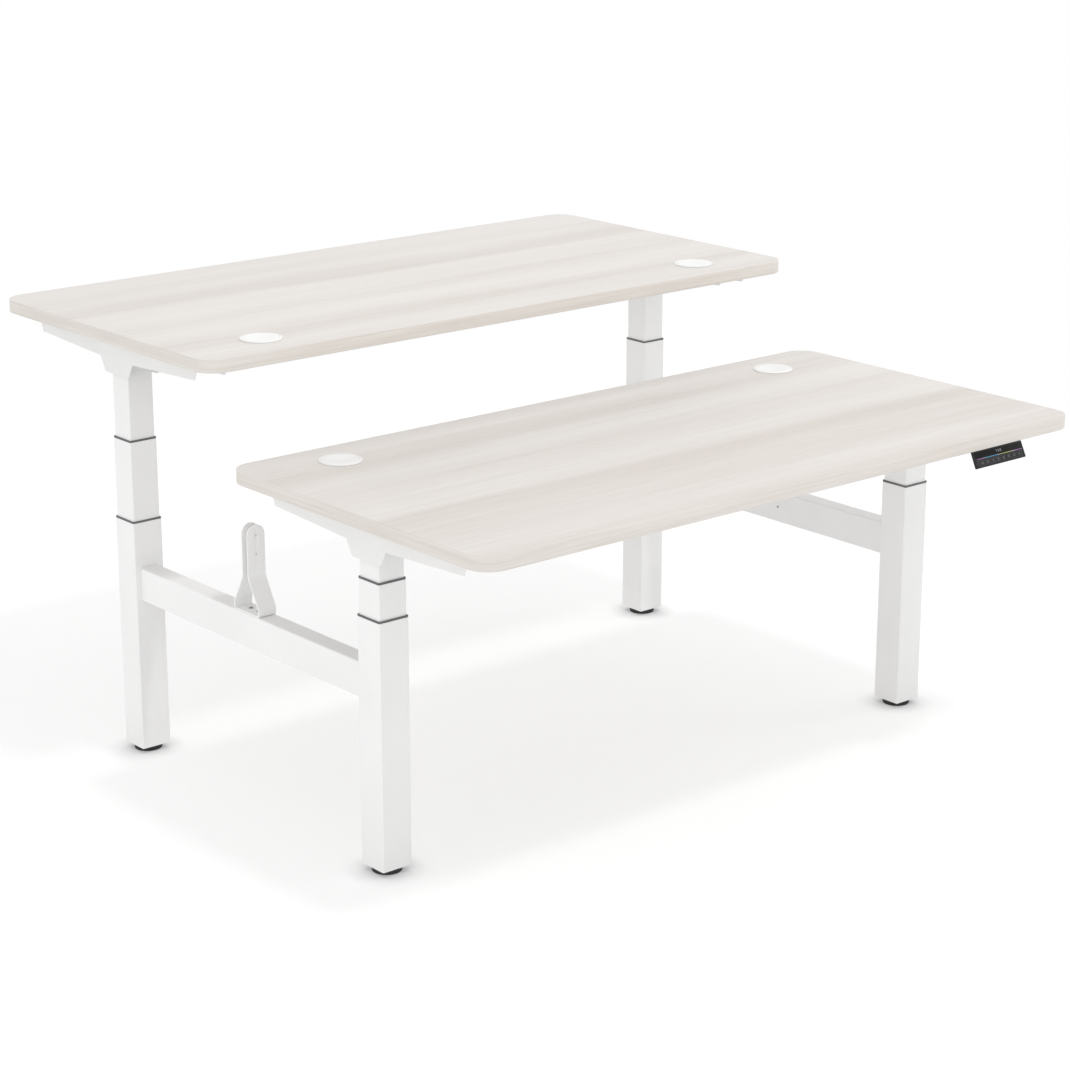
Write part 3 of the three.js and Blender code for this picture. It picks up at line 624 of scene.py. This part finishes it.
# Worktops: a laminated board with an edging band, and holes for the grommets
def add_worktop(desk):
    low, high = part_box(f"worktop_{desk}")
    middle = (low + high) / 2
    outlines = [rounded_rectangle(high.x - low.x, high.y - low.y, TOP_CORNER_RADIUS, TOP_CORNER_STEPS)]
    for end in ("left", "right"):
        ring_low, ring_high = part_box(f"grommet_ring_{desk}_{end}")
        hole = (ring_low + ring_high) / 2 - middle
        outlines.append(circle(GROMMET_HOLE_RADIUS, hole.x, hole.y))
    board = moved(plate(outlines, high.z - low.z, TOP_EDGE_EASE), Matrix.Translation(middle))
    finishes = (ASH_LAMINATE[desk], ASH_EDGING)
    add_piece(f"board_{desk}", board, finishes, f"{desk}_desk", [f"worktop_{desk}"])
    edge_x = (high.x - low.x) / 2 - TOP_CORNER_RADIUS
    edge_y = (high.y - low.y) / 2 - TOP_CORNER_RADIUS
    for face in board.polygons:
        from_middle = face.center - middle
        outside = abs(from_middle.x) > edge_x or abs(from_middle.y) > edge_y
        if outside and abs(face.normal.z) < UPRIGHT_LIMIT:
            face.material_index = 1


# Cable grommets: a moulded ring and a cap with a dished finger recess
def ring_mesh(depth):
    flange = GROMMET_FLANGE_RADIUS - GROMMET_FLANGE_ROUND
    recess = GROMMET_RECESS_RADIUS + GROMMET_RECESS_ROUND
    profile = [
        (GROMMET_SLEEVE_INSIDE, depth),
        (GROMMET_SLEEVE_OUTSIDE, depth),
        (GROMMET_SLEEVE_OUTSIDE, -GROMMET_FLANGE_HEIGHT),
        (GROMMET_FLANGE_RADIUS, -GROMMET_FLANGE_HEIGHT),
    ]
    profile += quarter(flange, -GROMMET_FLANGE_ROUND, GROMMET_FLANGE_ROUND, 90)[::-1]
    profile += quarter(recess, -GROMMET_RECESS_ROUND, GROMMET_RECESS_ROUND, 180)[::-1]
    profile += [
        (GROMMET_RECESS_RADIUS, -GROMMET_LIP_DROP),
        (GROMMET_SLEEVE_INSIDE, -GROMMET_LIP_DROP),
        (GROMMET_SLEEVE_INSIDE, depth),
    ]
    return lathe(profile)


def cap_mesh():
    """A disc whose top is dished for a finger."""
    profile = [(0.0, -CAP_THICKNESS), (CAP_RADIUS, -CAP_THICKNESS)]
    profile += quarter(CAP_RADIUS - CAP_ROUND, -CAP_ROUND, CAP_ROUND, 90)[::-1]
    profile.append((DISH_RADIUS + DISH_RIM_ROUND, 0.0))
    for ring in range(DISH_RINGS):
        share = 1 - ring / DISH_RINGS
        profile.append((share * DISH_RADIUS, -DISH_DEPTH * (1 - share * share) - DISH_RIM_DROP))
    profile.append((0.0, -DISH_DEPTH))
    return lathe(profile, CAP_STEPS)


def add_grommet(desk, end):
    name = f"{desk}_{end}"
    low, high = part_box(f"grommet_ring_{name}")
    place = Matrix.Translation(((low.x + high.x) / 2, (low.y + high.y) / 2, high.z))
    finish = [WHITE_PLASTIC]
    ring = moved(ring_mesh(low.z - high.z), place)
    add_piece(f"ring_{name}", ring, finish, f"{desk}_desk", [f"grommet_ring_{name}"])
    cap = moved(cap_mesh(), place)
    add_piece(f"lid_{name}", cap, finish, f"cap_{name}", [f"grommet_cap_{name}"])


# Levelling feet: a grooved rubber pad on a threaded stud
def add_foot(name):
    low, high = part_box(f"levelling_foot_{name}")
    radius = (high.x - low.x) / 2
    profile = [(0.0, 0.0), (radius - FOOT_ROUND, 0.0)]
    profile += quarter(radius - FOOT_ROUND, FOOT_ROUND, FOOT_ROUND, 0)[::-1]
    profile += [
        (radius, FOOT_GROOVE_HEIGHT - FOOT_GROOVE),
        (radius - FOOT_GROOVE, FOOT_GROOVE_HEIGHT),
        (radius, FOOT_GROOVE_HEIGHT + FOOT_GROOVE),
    ]
    profile += quarter(radius - FOOT_ROUND, FOOT_PAD_TOP - FOOT_ROUND, FOOT_ROUND, 90)[::-1]
    profile.append((STUD_RADIUS + FOOT_GROOVE, FOOT_PAD_TOP))
    for turn in range(int((high.z - FOOT_PAD_TOP) / STUD_PITCH)):
        height = FOOT_PAD_TOP + turn * STUD_PITCH
        profile.append((STUD_ROOT_RADIUS, height + STUD_ROOT_SHARE * STUD_PITCH))
        profile.append((STUD_RADIUS, height + STUD_CREST_SHARE * STUD_PITCH))
    profile.append((0.0, high.z))
    place = Matrix.Translation(((low.x + high.x) / 2, (low.y + high.y) / 2, low.z))
    mesh = moved(lathe(profile, FOOT_STEPS), place)
    add_piece(f"pad_{name}", mesh, [BLACK_FOOT], f"foot_{name}", [f"levelling_foot_{name}"])


# Screws
def screw_head(radius):
    """A domed head with a socket, on a short shank."""
    height = SCREW_HEIGHT_SHARE * radius
    shank = SCREW_SHANK_SHARE * radius
    socket = SCREW_SOCKET_SHARE * radius
    profile = [(0.0, -SCREW_SHANK_LENGTH), (shank, -SCREW_SHANK_LENGTH), (shank, 0.0)]
    profile += [(share * radius, rise * height) for share, rise in SCREW_DOME]
    profile += [(share * socket, rise * height) for share, rise in SCREW_SOCKET]
    return lathe(profile, SMALL_ROUND_STEPS)


def add_screws(name, body, spots, radius, turn=Matrix.Identity(4)):
    heads = [moved(screw_head(radius), Matrix.Translation(spot) @ turn) for spot in spots]
    add_piece(name, joined(heads), [SCREW_STEEL], body)


def add_beam_screw(end, side):
    """A small screw in the inner face of an end beam."""
    low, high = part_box(f"end_beam_{end}")
    face = low.x if side > 0 else high.x
    spot = (face, -side * BEAM_SCREW_OFFSET, (low.z + high.z) / 2)
    turn = Matrix.Rotation(-side * math.pi / 2, 4, "Y")
    add_screws(f"beam_screw_{end}", "frame", [spot], BEAM_SCREW_RADIUS, turn)


def add_under_screws(desk):
    """Screws under a worktop, through its side brackets and the control box's ears."""
    down = Matrix.Rotation(math.pi, 4, "X")
    top_low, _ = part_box(f"worktop_{desk}")
    spots = []
    for end in ("left", "right"):
        low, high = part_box(f"side_bracket_{desk}_{end}")
        for along in BRACKET_SCREW_PLACES:
            spots.append(((low.x + high.x) / 2, (low.y + high.y) / 2 + along, top_low.z - BRACKET_SHEET))
    add_screws(f"bracket_screws_{desk}", f"{desk}_desk", spots, BRACKET_SCREW_RADIUS, down)
    low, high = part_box(f"control_box_{desk}")
    spots = []
    for x in (low.x + BOX_EAR_REACH, high.x - BOX_EAR_REACH):
        for side in (-1, 1):
            spots.append((x, (low.y + high.y) / 2 + side * BOX_EAR_SCREW, top_low.z - BOX_EAR_DEPTH))
    add_screws(f"box_screws_{desk}", f"{desk}_desk", spots, BOX_SCREW_RADIUS, down)


# Screen brackets: a flat strip with round ends and holes, bent along its line
def bent_line(points, radii):
    """A line through (y, z) points with rounded bends, as straight pieces and arcs laid end to end."""
    pieces = []
    start = Vector(points[0])
    for index, radius in enumerate(radii, 1):
        here = Vector(points[index])
        back = (Vector(points[index - 1]) - here).normalized()
        ahead = (Vector(points[index + 1]) - here).normalized()
        half = back.angle(ahead) / 2
        run = radius / math.tan(half)
        turn = back.angle_signed(-ahead)
        entry = here + back * run
        pieces.append((start, -back, (entry - start).length, 0.0))
        pieces.append((entry, -back, radius * (math.pi - 2 * half), math.copysign(1 / radius, turn)))
        start = here + ahead * run
    end = Vector(points[-1])
    pieces.append((start, (end - start).normalized(), (end - start).length, 0.0))
    return pieces


def on_line(pieces, distance):
    """Point and direction at a distance along a bent line."""
    index = 0
    while index < len(pieces) - 1 and distance > pieces[index][2]:
        distance -= pieces[index][2]
        index += 1
    start, direction, _, bend = pieces[index]
    if bend == 0.0:
        return start + direction * distance, direction
    turned = direction.copy()
    turned.rotate(Matrix.Rotation(-bend * distance, 2))
    across = Vector((direction.y, -direction.x)) / bend
    moved_across = Vector((turned.y, -turned.x)) / bend
    return start + across - moved_across, turned


def flat_strip(length):
    half = STRIP_WIDTH / 2
    outline = []
    for step in range(2 * ARC_STEPS + 1):
        angle = math.pi / 2 + math.pi * step / (2 * ARC_STEPS)
        outline.append((half + half * math.cos(angle), half * math.sin(angle)))
    outline += [(length - x, -y) for x, y in outline]
    holes = [*STRIP_HOLE_DROPS, *(length - drop for drop in STRIP_HOLE_DROPS)]
    outlines = [outline] + [circle(STRIP_HOLE_RADIUS, hole, 0, SMALL_ROUND_STEPS) for hole in holes]
    return plate(outlines, STRIP_SHEET, STRIP_EASE, ease_steps=2)


def cut_across(builder, pieces):
    """Cuts a flat strip where its line's pieces meet, and in steps along each bend."""
    passed = 0.0
    for _, _, run, bend in pieces:
        cuts = STRIP_BEND_CUTS if bend else 1
        for step in range(cuts):
            bmesh.ops.bisect_plane(
                builder,
                geom=builder.verts[:] + builder.edges[:] + builder.faces[:],
                plane_co=(passed + run * step / cuts, 0, 0),
                plane_no=(1, 0, 0),
                dist=STRIP_CUT_REACH,
            )
        passed += run


def add_screen_bracket(end):
    low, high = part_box(f"screen_bracket_{end}")
    middle = (low.x + high.x) / 2
    upright = STRIP_SLOT / 2 + STRIP_SHEET / 2
    points = [
        (-upright, STRIP_HEIGHT),
        (-upright, STRIP_NECK_HEIGHT),
        (-STRIP_FOOT_HALF, STRIP_SHOULDER_HEIGHT),
        (-STRIP_FOOT_HALF, STRIP_SHEET / 2),
        (STRIP_FOOT_HALF, STRIP_SHEET / 2),
        (STRIP_FOOT_HALF, STRIP_SHOULDER_HEIGHT),
        (upright, STRIP_NECK_HEIGHT),
        (upright, STRIP_HEIGHT),
    ]
    bends = (STRIP_NECK_BEND, STRIP_NECK_BEND, STRIP_FOOT_BEND)
    pieces = bent_line(points, bends + bends[::-1])
    builder = builder_of(flat_strip(sum(piece[2] for piece in pieces)))
    cut_across(builder, pieces)
    for vertex in builder.verts:
        point, direction = on_line(pieces, vertex.co.x)
        out = Vector((direction.y, -direction.x)) * vertex.co.z
        vertex.co = (middle + vertex.co.y, point.x + out.x, low.z + point.y + out.y)
    strip = mesh_of(builder)
    add_piece(f"strip_{end}", strip, [POWDER_COAT], "frame", [f"screen_bracket_{end}"])
    spots = [(middle, side * STRIP_SCREW_PITCH / 2, low.z + STRIP_SHEET) for side in (-1, 1)]
    add_screws(f"strip_screws_{end}", "frame", spots, STRIP_SCREW_RADIUS)


# Handsets: a shell with a display and a line of light, and a mat of keys in its pocket
def seven_bars(builder, digit, x, y, width, height, stroke, low, high):
    """A digit of straight bars, centred on (x, y)."""
    left = x - width / 2
    right = x + width / 2
    top = y + height / 2
    foot = y - height / 2
    gap = DIGIT_GAP_SHARE * stroke
    bars = {
        "a": ((left + gap, top), (right - gap, top)),
        "b": ((right, top - gap), (right, y + gap)),
        "c": ((right, y - gap), (right, foot + gap)),
        "d": ((left + gap, foot), (right - gap, foot)),
        "e": ((left, y - gap), (left, foot + gap)),
        "f": ((left, top - gap), (left, y + gap)),
        "g": ((left + gap, y), (right - gap, y)),
    }
    for letter in DIGIT_BARS[digit]:
        bar(builder, *bars[letter], stroke, low, high)


def display_digits(text):
    builder = bmesh.new()
    for index, digit in enumerate(text):
        x = (index - (len(text) - 1) / 2) * DIGIT_PITCH
        seven_bars(builder, digit, x, 0, DIGIT_WIDTH, DIGIT_HEIGHT, DIGIT_STROKE, 0, DIGIT_RISE)
    return mesh_of(builder)


def key_places():
    return [(index - (KEY_COUNT - 1) / 2) * KEY_PITCH for index in range(KEY_COUNT)]


def key_marks():
    """Plain marks on the keys: up, down, four numbers, a ring and a bar."""
    builder = bmesh.new()
    low = KEY_RISE - MARK_SINK
    high = KEY_RISE + MARK_RISE
    up, down, *numbers, ring_place, bar_place = key_places()
    for x, lift in ((up, 1), (down, -1)):
        tip = (x, lift * MARK_ARROW_SHARE * MARK_SIZE)
        for side in (-1, 1):
            foot = (x + side * MARK_SIZE, -lift * MARK_ARROW_SHARE * MARK_SIZE)
            bar(builder, foot, tip, MARK_STROKE, low, high)
    for x, digit in zip(numbers, "1234"):
        seven_bars(builder, digit, x, 0, MARK_DIGIT_WIDTH, MARK_DIGIT_HEIGHT, MARK_STROKE, low, high)
    ring = circle(MARK_SIZE, ring_place, 0, MARK_RING_STEPS)
    for start, end in zip(ring, ring[1:] + ring[:1]):
        bar(builder, start, end, MARK_RING_STROKE, low, high)
    bar(builder, (bar_place - MARK_SIZE, 0), (bar_place + MARK_SIZE, 0), MARK_STROKE, low, high)
    return mesh_of(builder)


def handset_prism(profile, length):
    """A profile's prism along X, with eased ends."""
    outline = rounded(profile, HANDSET_CORNER_STEPS)
    builder = bmesh.new()
    ends = []
    for x in (-length / 2, length / 2):
        ends.append([builder.verts.new((x, y, z)) for y, z in outline])
    builder.faces.new(ends[0])
    builder.faces.new(ends[1][::-1])
    count = len(outline)
    for side in range(count):
        after = (side + 1) % count
        builder.faces.new((ends[0][side], ends[0][after], ends[1][after], ends[1][side]))
    bmesh.ops.recalc_face_normals(builder, faces=builder.faces)
    rims = []
    for edge in builder.edges:
        first, last = edge.verts
        if abs(first.co.x - last.co.x) < WELD_DISTANCE:
            rims.append(edge)
    bmesh.ops.bevel(
        builder,
        geom=rims,
        offset=HANDSET_END_EASE,
        segments=HANDSET_END_STEPS,
        profile=0.5,
        affect="EDGES",
    )
    return mesh_of(builder)


def cut_away(mesh, tool):
    """What is left of a mesh when the tool's solid is taken out of it."""
    whole = bpy.data.objects.new("whole", mesh)
    cutter = bpy.data.objects.new("cutter", tool)
    for holder in (whole, cutter):
        scene.collection.objects.link(holder)
    difference = whole.modifiers.new("pocket", "BOOLEAN")
    difference.operation = "DIFFERENCE"
    difference.solver = "EXACT"
    difference.object = cutter
    shown = whole.evaluated_get(bpy.context.evaluated_depsgraph_get())
    result = bpy.data.meshes.new_from_object(shown)
    for holder in (whole, cutter):
        bpy.data.objects.remove(holder)
    bpy.data.meshes.remove(tool)
    bpy.data.meshes.remove(mesh)
    return result


def add_shell(desk, length, seat, mat_place):
    pocket_length = KEYPAD_LENGTH + 2 * KEYPAD_POCKET_GAP
    pocket_width = KEYPAD_WIDTH + 2 * KEYPAD_POCKET_GAP
    outline = rounded_rectangle(pocket_length, pocket_width, KEYPAD_CORNER_RADIUS + KEYPAD_POCKET_GAP)
    pocket = plate([outline], 2 * KEYPAD_POCKET_DEPTH, KEYPAD_POCKET_EASE, ease_steps=1)
    shell = cut_away(moved(handset_prism(HANDSET_PROFILE, length), seat), moved(pocket, mat_place))
    fixing_plate = moved(handset_prism(HANDSET_PLATE_PROFILE, HANDSET_PLATE_LENGTH), seat)
    whole = joined([shell, fixing_plate])
    add_piece(f"shell_{desk}", whole, [HANDSET_SHELL], f"{desk}_desk", [f"handset_{desk}"])


def add_display(desk, face, digits):
    body = f"{desk}_desk"
    display_place = face @ Matrix.Translation((0, DISPLAY_OFFSET, 0))
    display_outline = rounded_rectangle(DISPLAY_LENGTH, DISPLAY_WIDTH, DISPLAY_CORNER_RADIUS)
    display = plate([display_outline], DISPLAY_THICKNESS, DISPLAY_EASE)
    add_piece(f"display_{desk}", moved(display, display_place), [DISPLAY_GLOSS], body)
    lit = moved(display_digits(digits), display_place @ Matrix.Translation((0, 0, DIGIT_LIFT)))
    add_piece(f"digits_{desk}", lit, [DISPLAY_LIGHT], body)
    line_outline = rounded_rectangle(KEYPAD_LENGTH, LIGHT_LINE_WIDTH, LIGHT_LINE_CORNER_RADIUS)
    line = plate([line_outline], LIGHT_LINE_THICKNESS, LIGHT_LINE_EASE)
    line_place = face @ Matrix.Translation((0, LIGHT_LINE_OFFSET, LIGHT_LINE_LIFT))
    ends = [(line_place @ Vector((side * KEYPAD_LENGTH / 2, 0, 0))).x for side in (-1, 1)]
    finish = light_line(f"light_line_{desk}", *ends)
    add_piece(f"light_line_{desk}", moved(line, line_place), [finish], body)


def add_keys(desk, mat_place):
    body = f"keypad_{desk}"
    mat_outline = rounded_rectangle(KEYPAD_LENGTH, KEYPAD_WIDTH, KEYPAD_CORNER_RADIUS)
    mat = plate([mat_outline], KEYPAD_THICKNESS, KEYPAD_EASE)
    parts = [moved(mat, Matrix.Translation((0, 0, -KEYPAD_THICKNESS / 2)))]
    key_outline = rounded_rectangle(KEY_LENGTH, KEY_WIDTH, KEYPAD_CORNER_RADIUS)
    for x in key_places():
        parts.append(moved(plate([key_outline], 2 * KEY_RISE, KEY_EASE), Matrix.Translation((x, 0, 0))))
    keys = moved(joined(parts), mat_place)
    add_piece(f"keys_{desk}", keys, [KEY_MAT], body, [f"handset_keypad_{desk}"])
    add_piece(f"key_marks_{desk}", moved(key_marks(), mat_place), [KEY_MARK], body)


def add_handset(desk, turn, digits):
    low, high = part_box(f"handset_{desk}")
    top_low, top_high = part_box(f"worktop_{desk}")
    edge = top_low.y if turn == 0 else top_high.y
    place = Matrix.Translation(((low.x + high.x) / 2, edge, top_low.z)) @ Matrix.Rotation(turn, 4, "Z")
    seat = place @ Matrix.Translation((0, 0, -HANDSET_SEAT_GAP))
    lean = math.atan2(HANDSET_FACE_DROP, HANDSET_FACE_REACH)
    face_middle = (0, -HANDSET_FACE_REACH / 2, -HANDSET_FACE_DROP / 2 - HANDSET_SEAT_GAP)
    face = place @ Matrix.Translation(face_middle) @ Matrix.Rotation(lean, 4, "X")
    mat_place = face @ Matrix.Translation((0, -KEYPAD_OFFSET, 0))
    add_shell(desk, high.x - low.x, seat, mat_place)
    add_display(desk, face, digits)
    add_keys(desk, mat_place)


# Solids of the frame that stay: welded, with fine edges and smooth rounds
def smoothing_group():
    group = bpy.data.node_groups.new("weld_and_smooth", "GeometryNodeTree")
    group.interface.new_socket("Geometry", in_out="INPUT", socket_type="NodeSocketGeometry")
    group.interface.new_socket("Geometry", in_out="OUTPUT", socket_type="NodeSocketGeometry")
    entry = add_node(group, "NodeGroupInput")
    weld = add_node(group, "GeometryNodeMergeByDistance", {
        "Geometry": entry.outputs["Geometry"],
        "Distance": NODE_WELD_DISTANCE,
    })
    smooth = add_node(group, "GeometryNodeSetShadeSmooth", {"Geometry": weld.outputs["Geometry"]})
    angle = add_node(group, "GeometryNodeInputMeshEdgeAngle").outputs["Unsigned Angle"]
    steep = add_node(group, "FunctionNodeCompare", {
        "A": angle,
        "B": SMOOTH_ANGLE,
    }, data_type="FLOAT", operation="GREATER_THAN")
    crease = add_node(group, "GeometryNodeSetShadeSmooth", {
        "Geometry": smooth.outputs["Geometry"],
        "Selection": steep.outputs["Result"],
        "Shade Smooth": False,
    }, domain="EDGE")
    add_node(group, "NodeGroupOutput", {"Geometry": crease.outputs["Geometry"]})
    return group


def dress_nodes(prefix, material, edge, smoothing):
    for name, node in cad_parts.items():
        if not name.startswith(prefix):
            continue
        for place in node.material_slots:
            place.material = material
        node.modifiers.new("weld", "NODES").node_group = smoothing
        if edge:
            bevel = node.modifiers.new("edges", "BEVEL")
            bevel.width = edge
            bevel.segments = NODE_EDGE_STEPS
            bevel.limit_method = "ANGLE"
            bevel.angle_limit = SMOOTH_ANGLE
            bevel.miter_outer = "MITER_ARC"
        shading = node.modifiers.new("shading", "WEIGHTED_NORMAL")
        shading.keep_sharp = True


# Camera, floor and light
def add_camera():
    camera = bpy.data.objects.new("camera", bpy.data.cameras.new("camera"))
    camera.data.lens = CAMERA_LENS
    camera.data.sensor_width = CAMERA_SENSOR
    camera.location = CAMERA_PLACE
    camera.rotation_euler = (CAMERA_TILT, 0, CAMERA_TURN)
    scene.collection.objects.link(camera)
    scene.camera = camera


def seen_rays(tree):
    """1 for rays that show the background: from the camera, off gloss or through glass."""
    path = add_node(tree, "ShaderNodeLightPath").outputs
    first = first_output(tree, "ShaderNodeMath", {0: path["Is Camera Ray"], 1: path["Is Glossy Ray"]})
    inputs = {0: first, 1: path["Is Transmission Ray"]}
    return first_output(tree, "ShaderNodeMath", inputs, use_clamp=True)


def add_floor():
    """A white floor that shows the object's shadow softened, with painted contact shade where something
    stands on it.
    """
    builder = bmesh.new()
    bmesh.ops.create_grid(builder, x_segments=1, y_segments=1, size=FLOOR_HALF)
    floor = bpy.data.objects.new("floor", mesh_of(builder))
    scene.collection.objects.link(floor)
    material = bpy.data.materials.new("floor")
    material.use_nodes = True
    floor.data.materials.append(material)
    tree = material.node_tree
    tree.nodes.clear()
    white, shaded = (
        first_output(tree, "ShaderNodeBsdfDiffuse", {"Color": (tone, tone, tone, 1)})
        for tone in (FLOOR_WHITE, FLOOR_SHADE))
    lift = first_output(tree, "ShaderNodeEmission", {"Strength": FLOOR_LIFT})
    lifted = first_output(tree, "ShaderNodeAddShader", {0: shaded, 1: lift})
    # Painted contact shade: ambient occlusion blends the seen floor towards black near whatever stands on it
    near = add_node(tree, "ShaderNodeAmbientOcclusion", {"Distance": CONTACT_REACH}).outputs["AO"]
    contact = first_output(tree, "ShaderNodeMapRange", {"Value": near, "To Min": CONTACT_SHADE, "To Max": 0})
    painted_shade = first_output(tree, "ShaderNodeEmission", {"Strength": 0})
    seen = first_output(tree, "ShaderNodeMixShader", {0: contact, 1: lifted, 2: painted_shade})
    surface = first_output(tree, "ShaderNodeMixShader", {0: seen_rays(tree), 1: white, 2: seen})
    add_node(tree, "ShaderNodeOutputMaterial", {"Surface": surface})


def add_world():
    world = bpy.data.worlds.new("studio")
    world.use_nodes = True
    scene.world = world
    tree = world.node_tree
    tree.nodes.clear()
    white = (1, 1, 1, 1)
    ambient = first_output(tree, "ShaderNodeBackground", {"Color": white, "Strength": AMBIENT})
    backdrop = first_output(tree, "ShaderNodeBackground", {"Color": white})
    surface = first_output(tree, "ShaderNodeMixShader", {0: seen_rays(tree), 1: ambient, 2: backdrop})
    add_node(tree, "ShaderNodeOutputWorld", {"Surface": surface})


def add_lamp(name, place, size, power):
    lamp = bpy.data.lights.new(name, "AREA")
    lamp.shape = "SQUARE"
    lamp.size = size
    lamp.energy = power
    holder = bpy.data.objects.new(name, lamp)
    holder.location = place
    aim = Vector(LAMP_TARGET) - Vector(place)
    holder.rotation_euler = aim.to_track_quat("-Z", "Y").to_euler()
    scene.collection.objects.link(holder)


scene.view_settings.view_transform = "Standard"
add_camera()
add_world()
add_floor()
for lamp in LAMPS:
    add_lamp(*lamp)

# Frame solids by the start of their names, with their finish and the width of their eased edges
smoothing = smoothing_group()
for prefix, material, edge in (
    ("outer_tube", POWDER_COAT, 0.4 * MM),
    ("middle_tube", POWDER_COAT, 0),
    ("inner_tube", POWDER_COAT, 0),
    ("end_beam", POWDER_COAT, 0.4 * MM),
    # Side brackets: the frame's coat darkened as painted shade
    ("side_bracket", SHADED_BRACKET_COAT, 0.5 * MM),
    ("cross_rail", POWDER_COAT, 0.4 * MM),
    ("outer_collar", GLIDE_COLLAR, 0.4 * MM),
    ("middle_collar", GLIDE_COLLAR, 0.4 * MM),
    ("control_box", BLACK_HOUSING, 1.5 * MM),
    ("gear_motor", DRIVE_HOUSING, 0.8 * MM),
    ("lifting_spindle", SPINDLE_STEEL, 0),
):
    dress_nodes(prefix, material, edge, smoothing)

for end, side in (("left", -1), ("right", 1)):
    add_screen_bracket(end)
    add_beam_screw(end, side)
for desk, turn, digits in (("front", 0, "739"), ("rear", math.pi, "939")):
    add_worktop(desk)
    add_handset(desk, turn, digits)
    add_under_screws(desk)
    for end in ("left", "right"):
        add_grommet(desk, end)
        add_foot(f"{desk}_{end}")
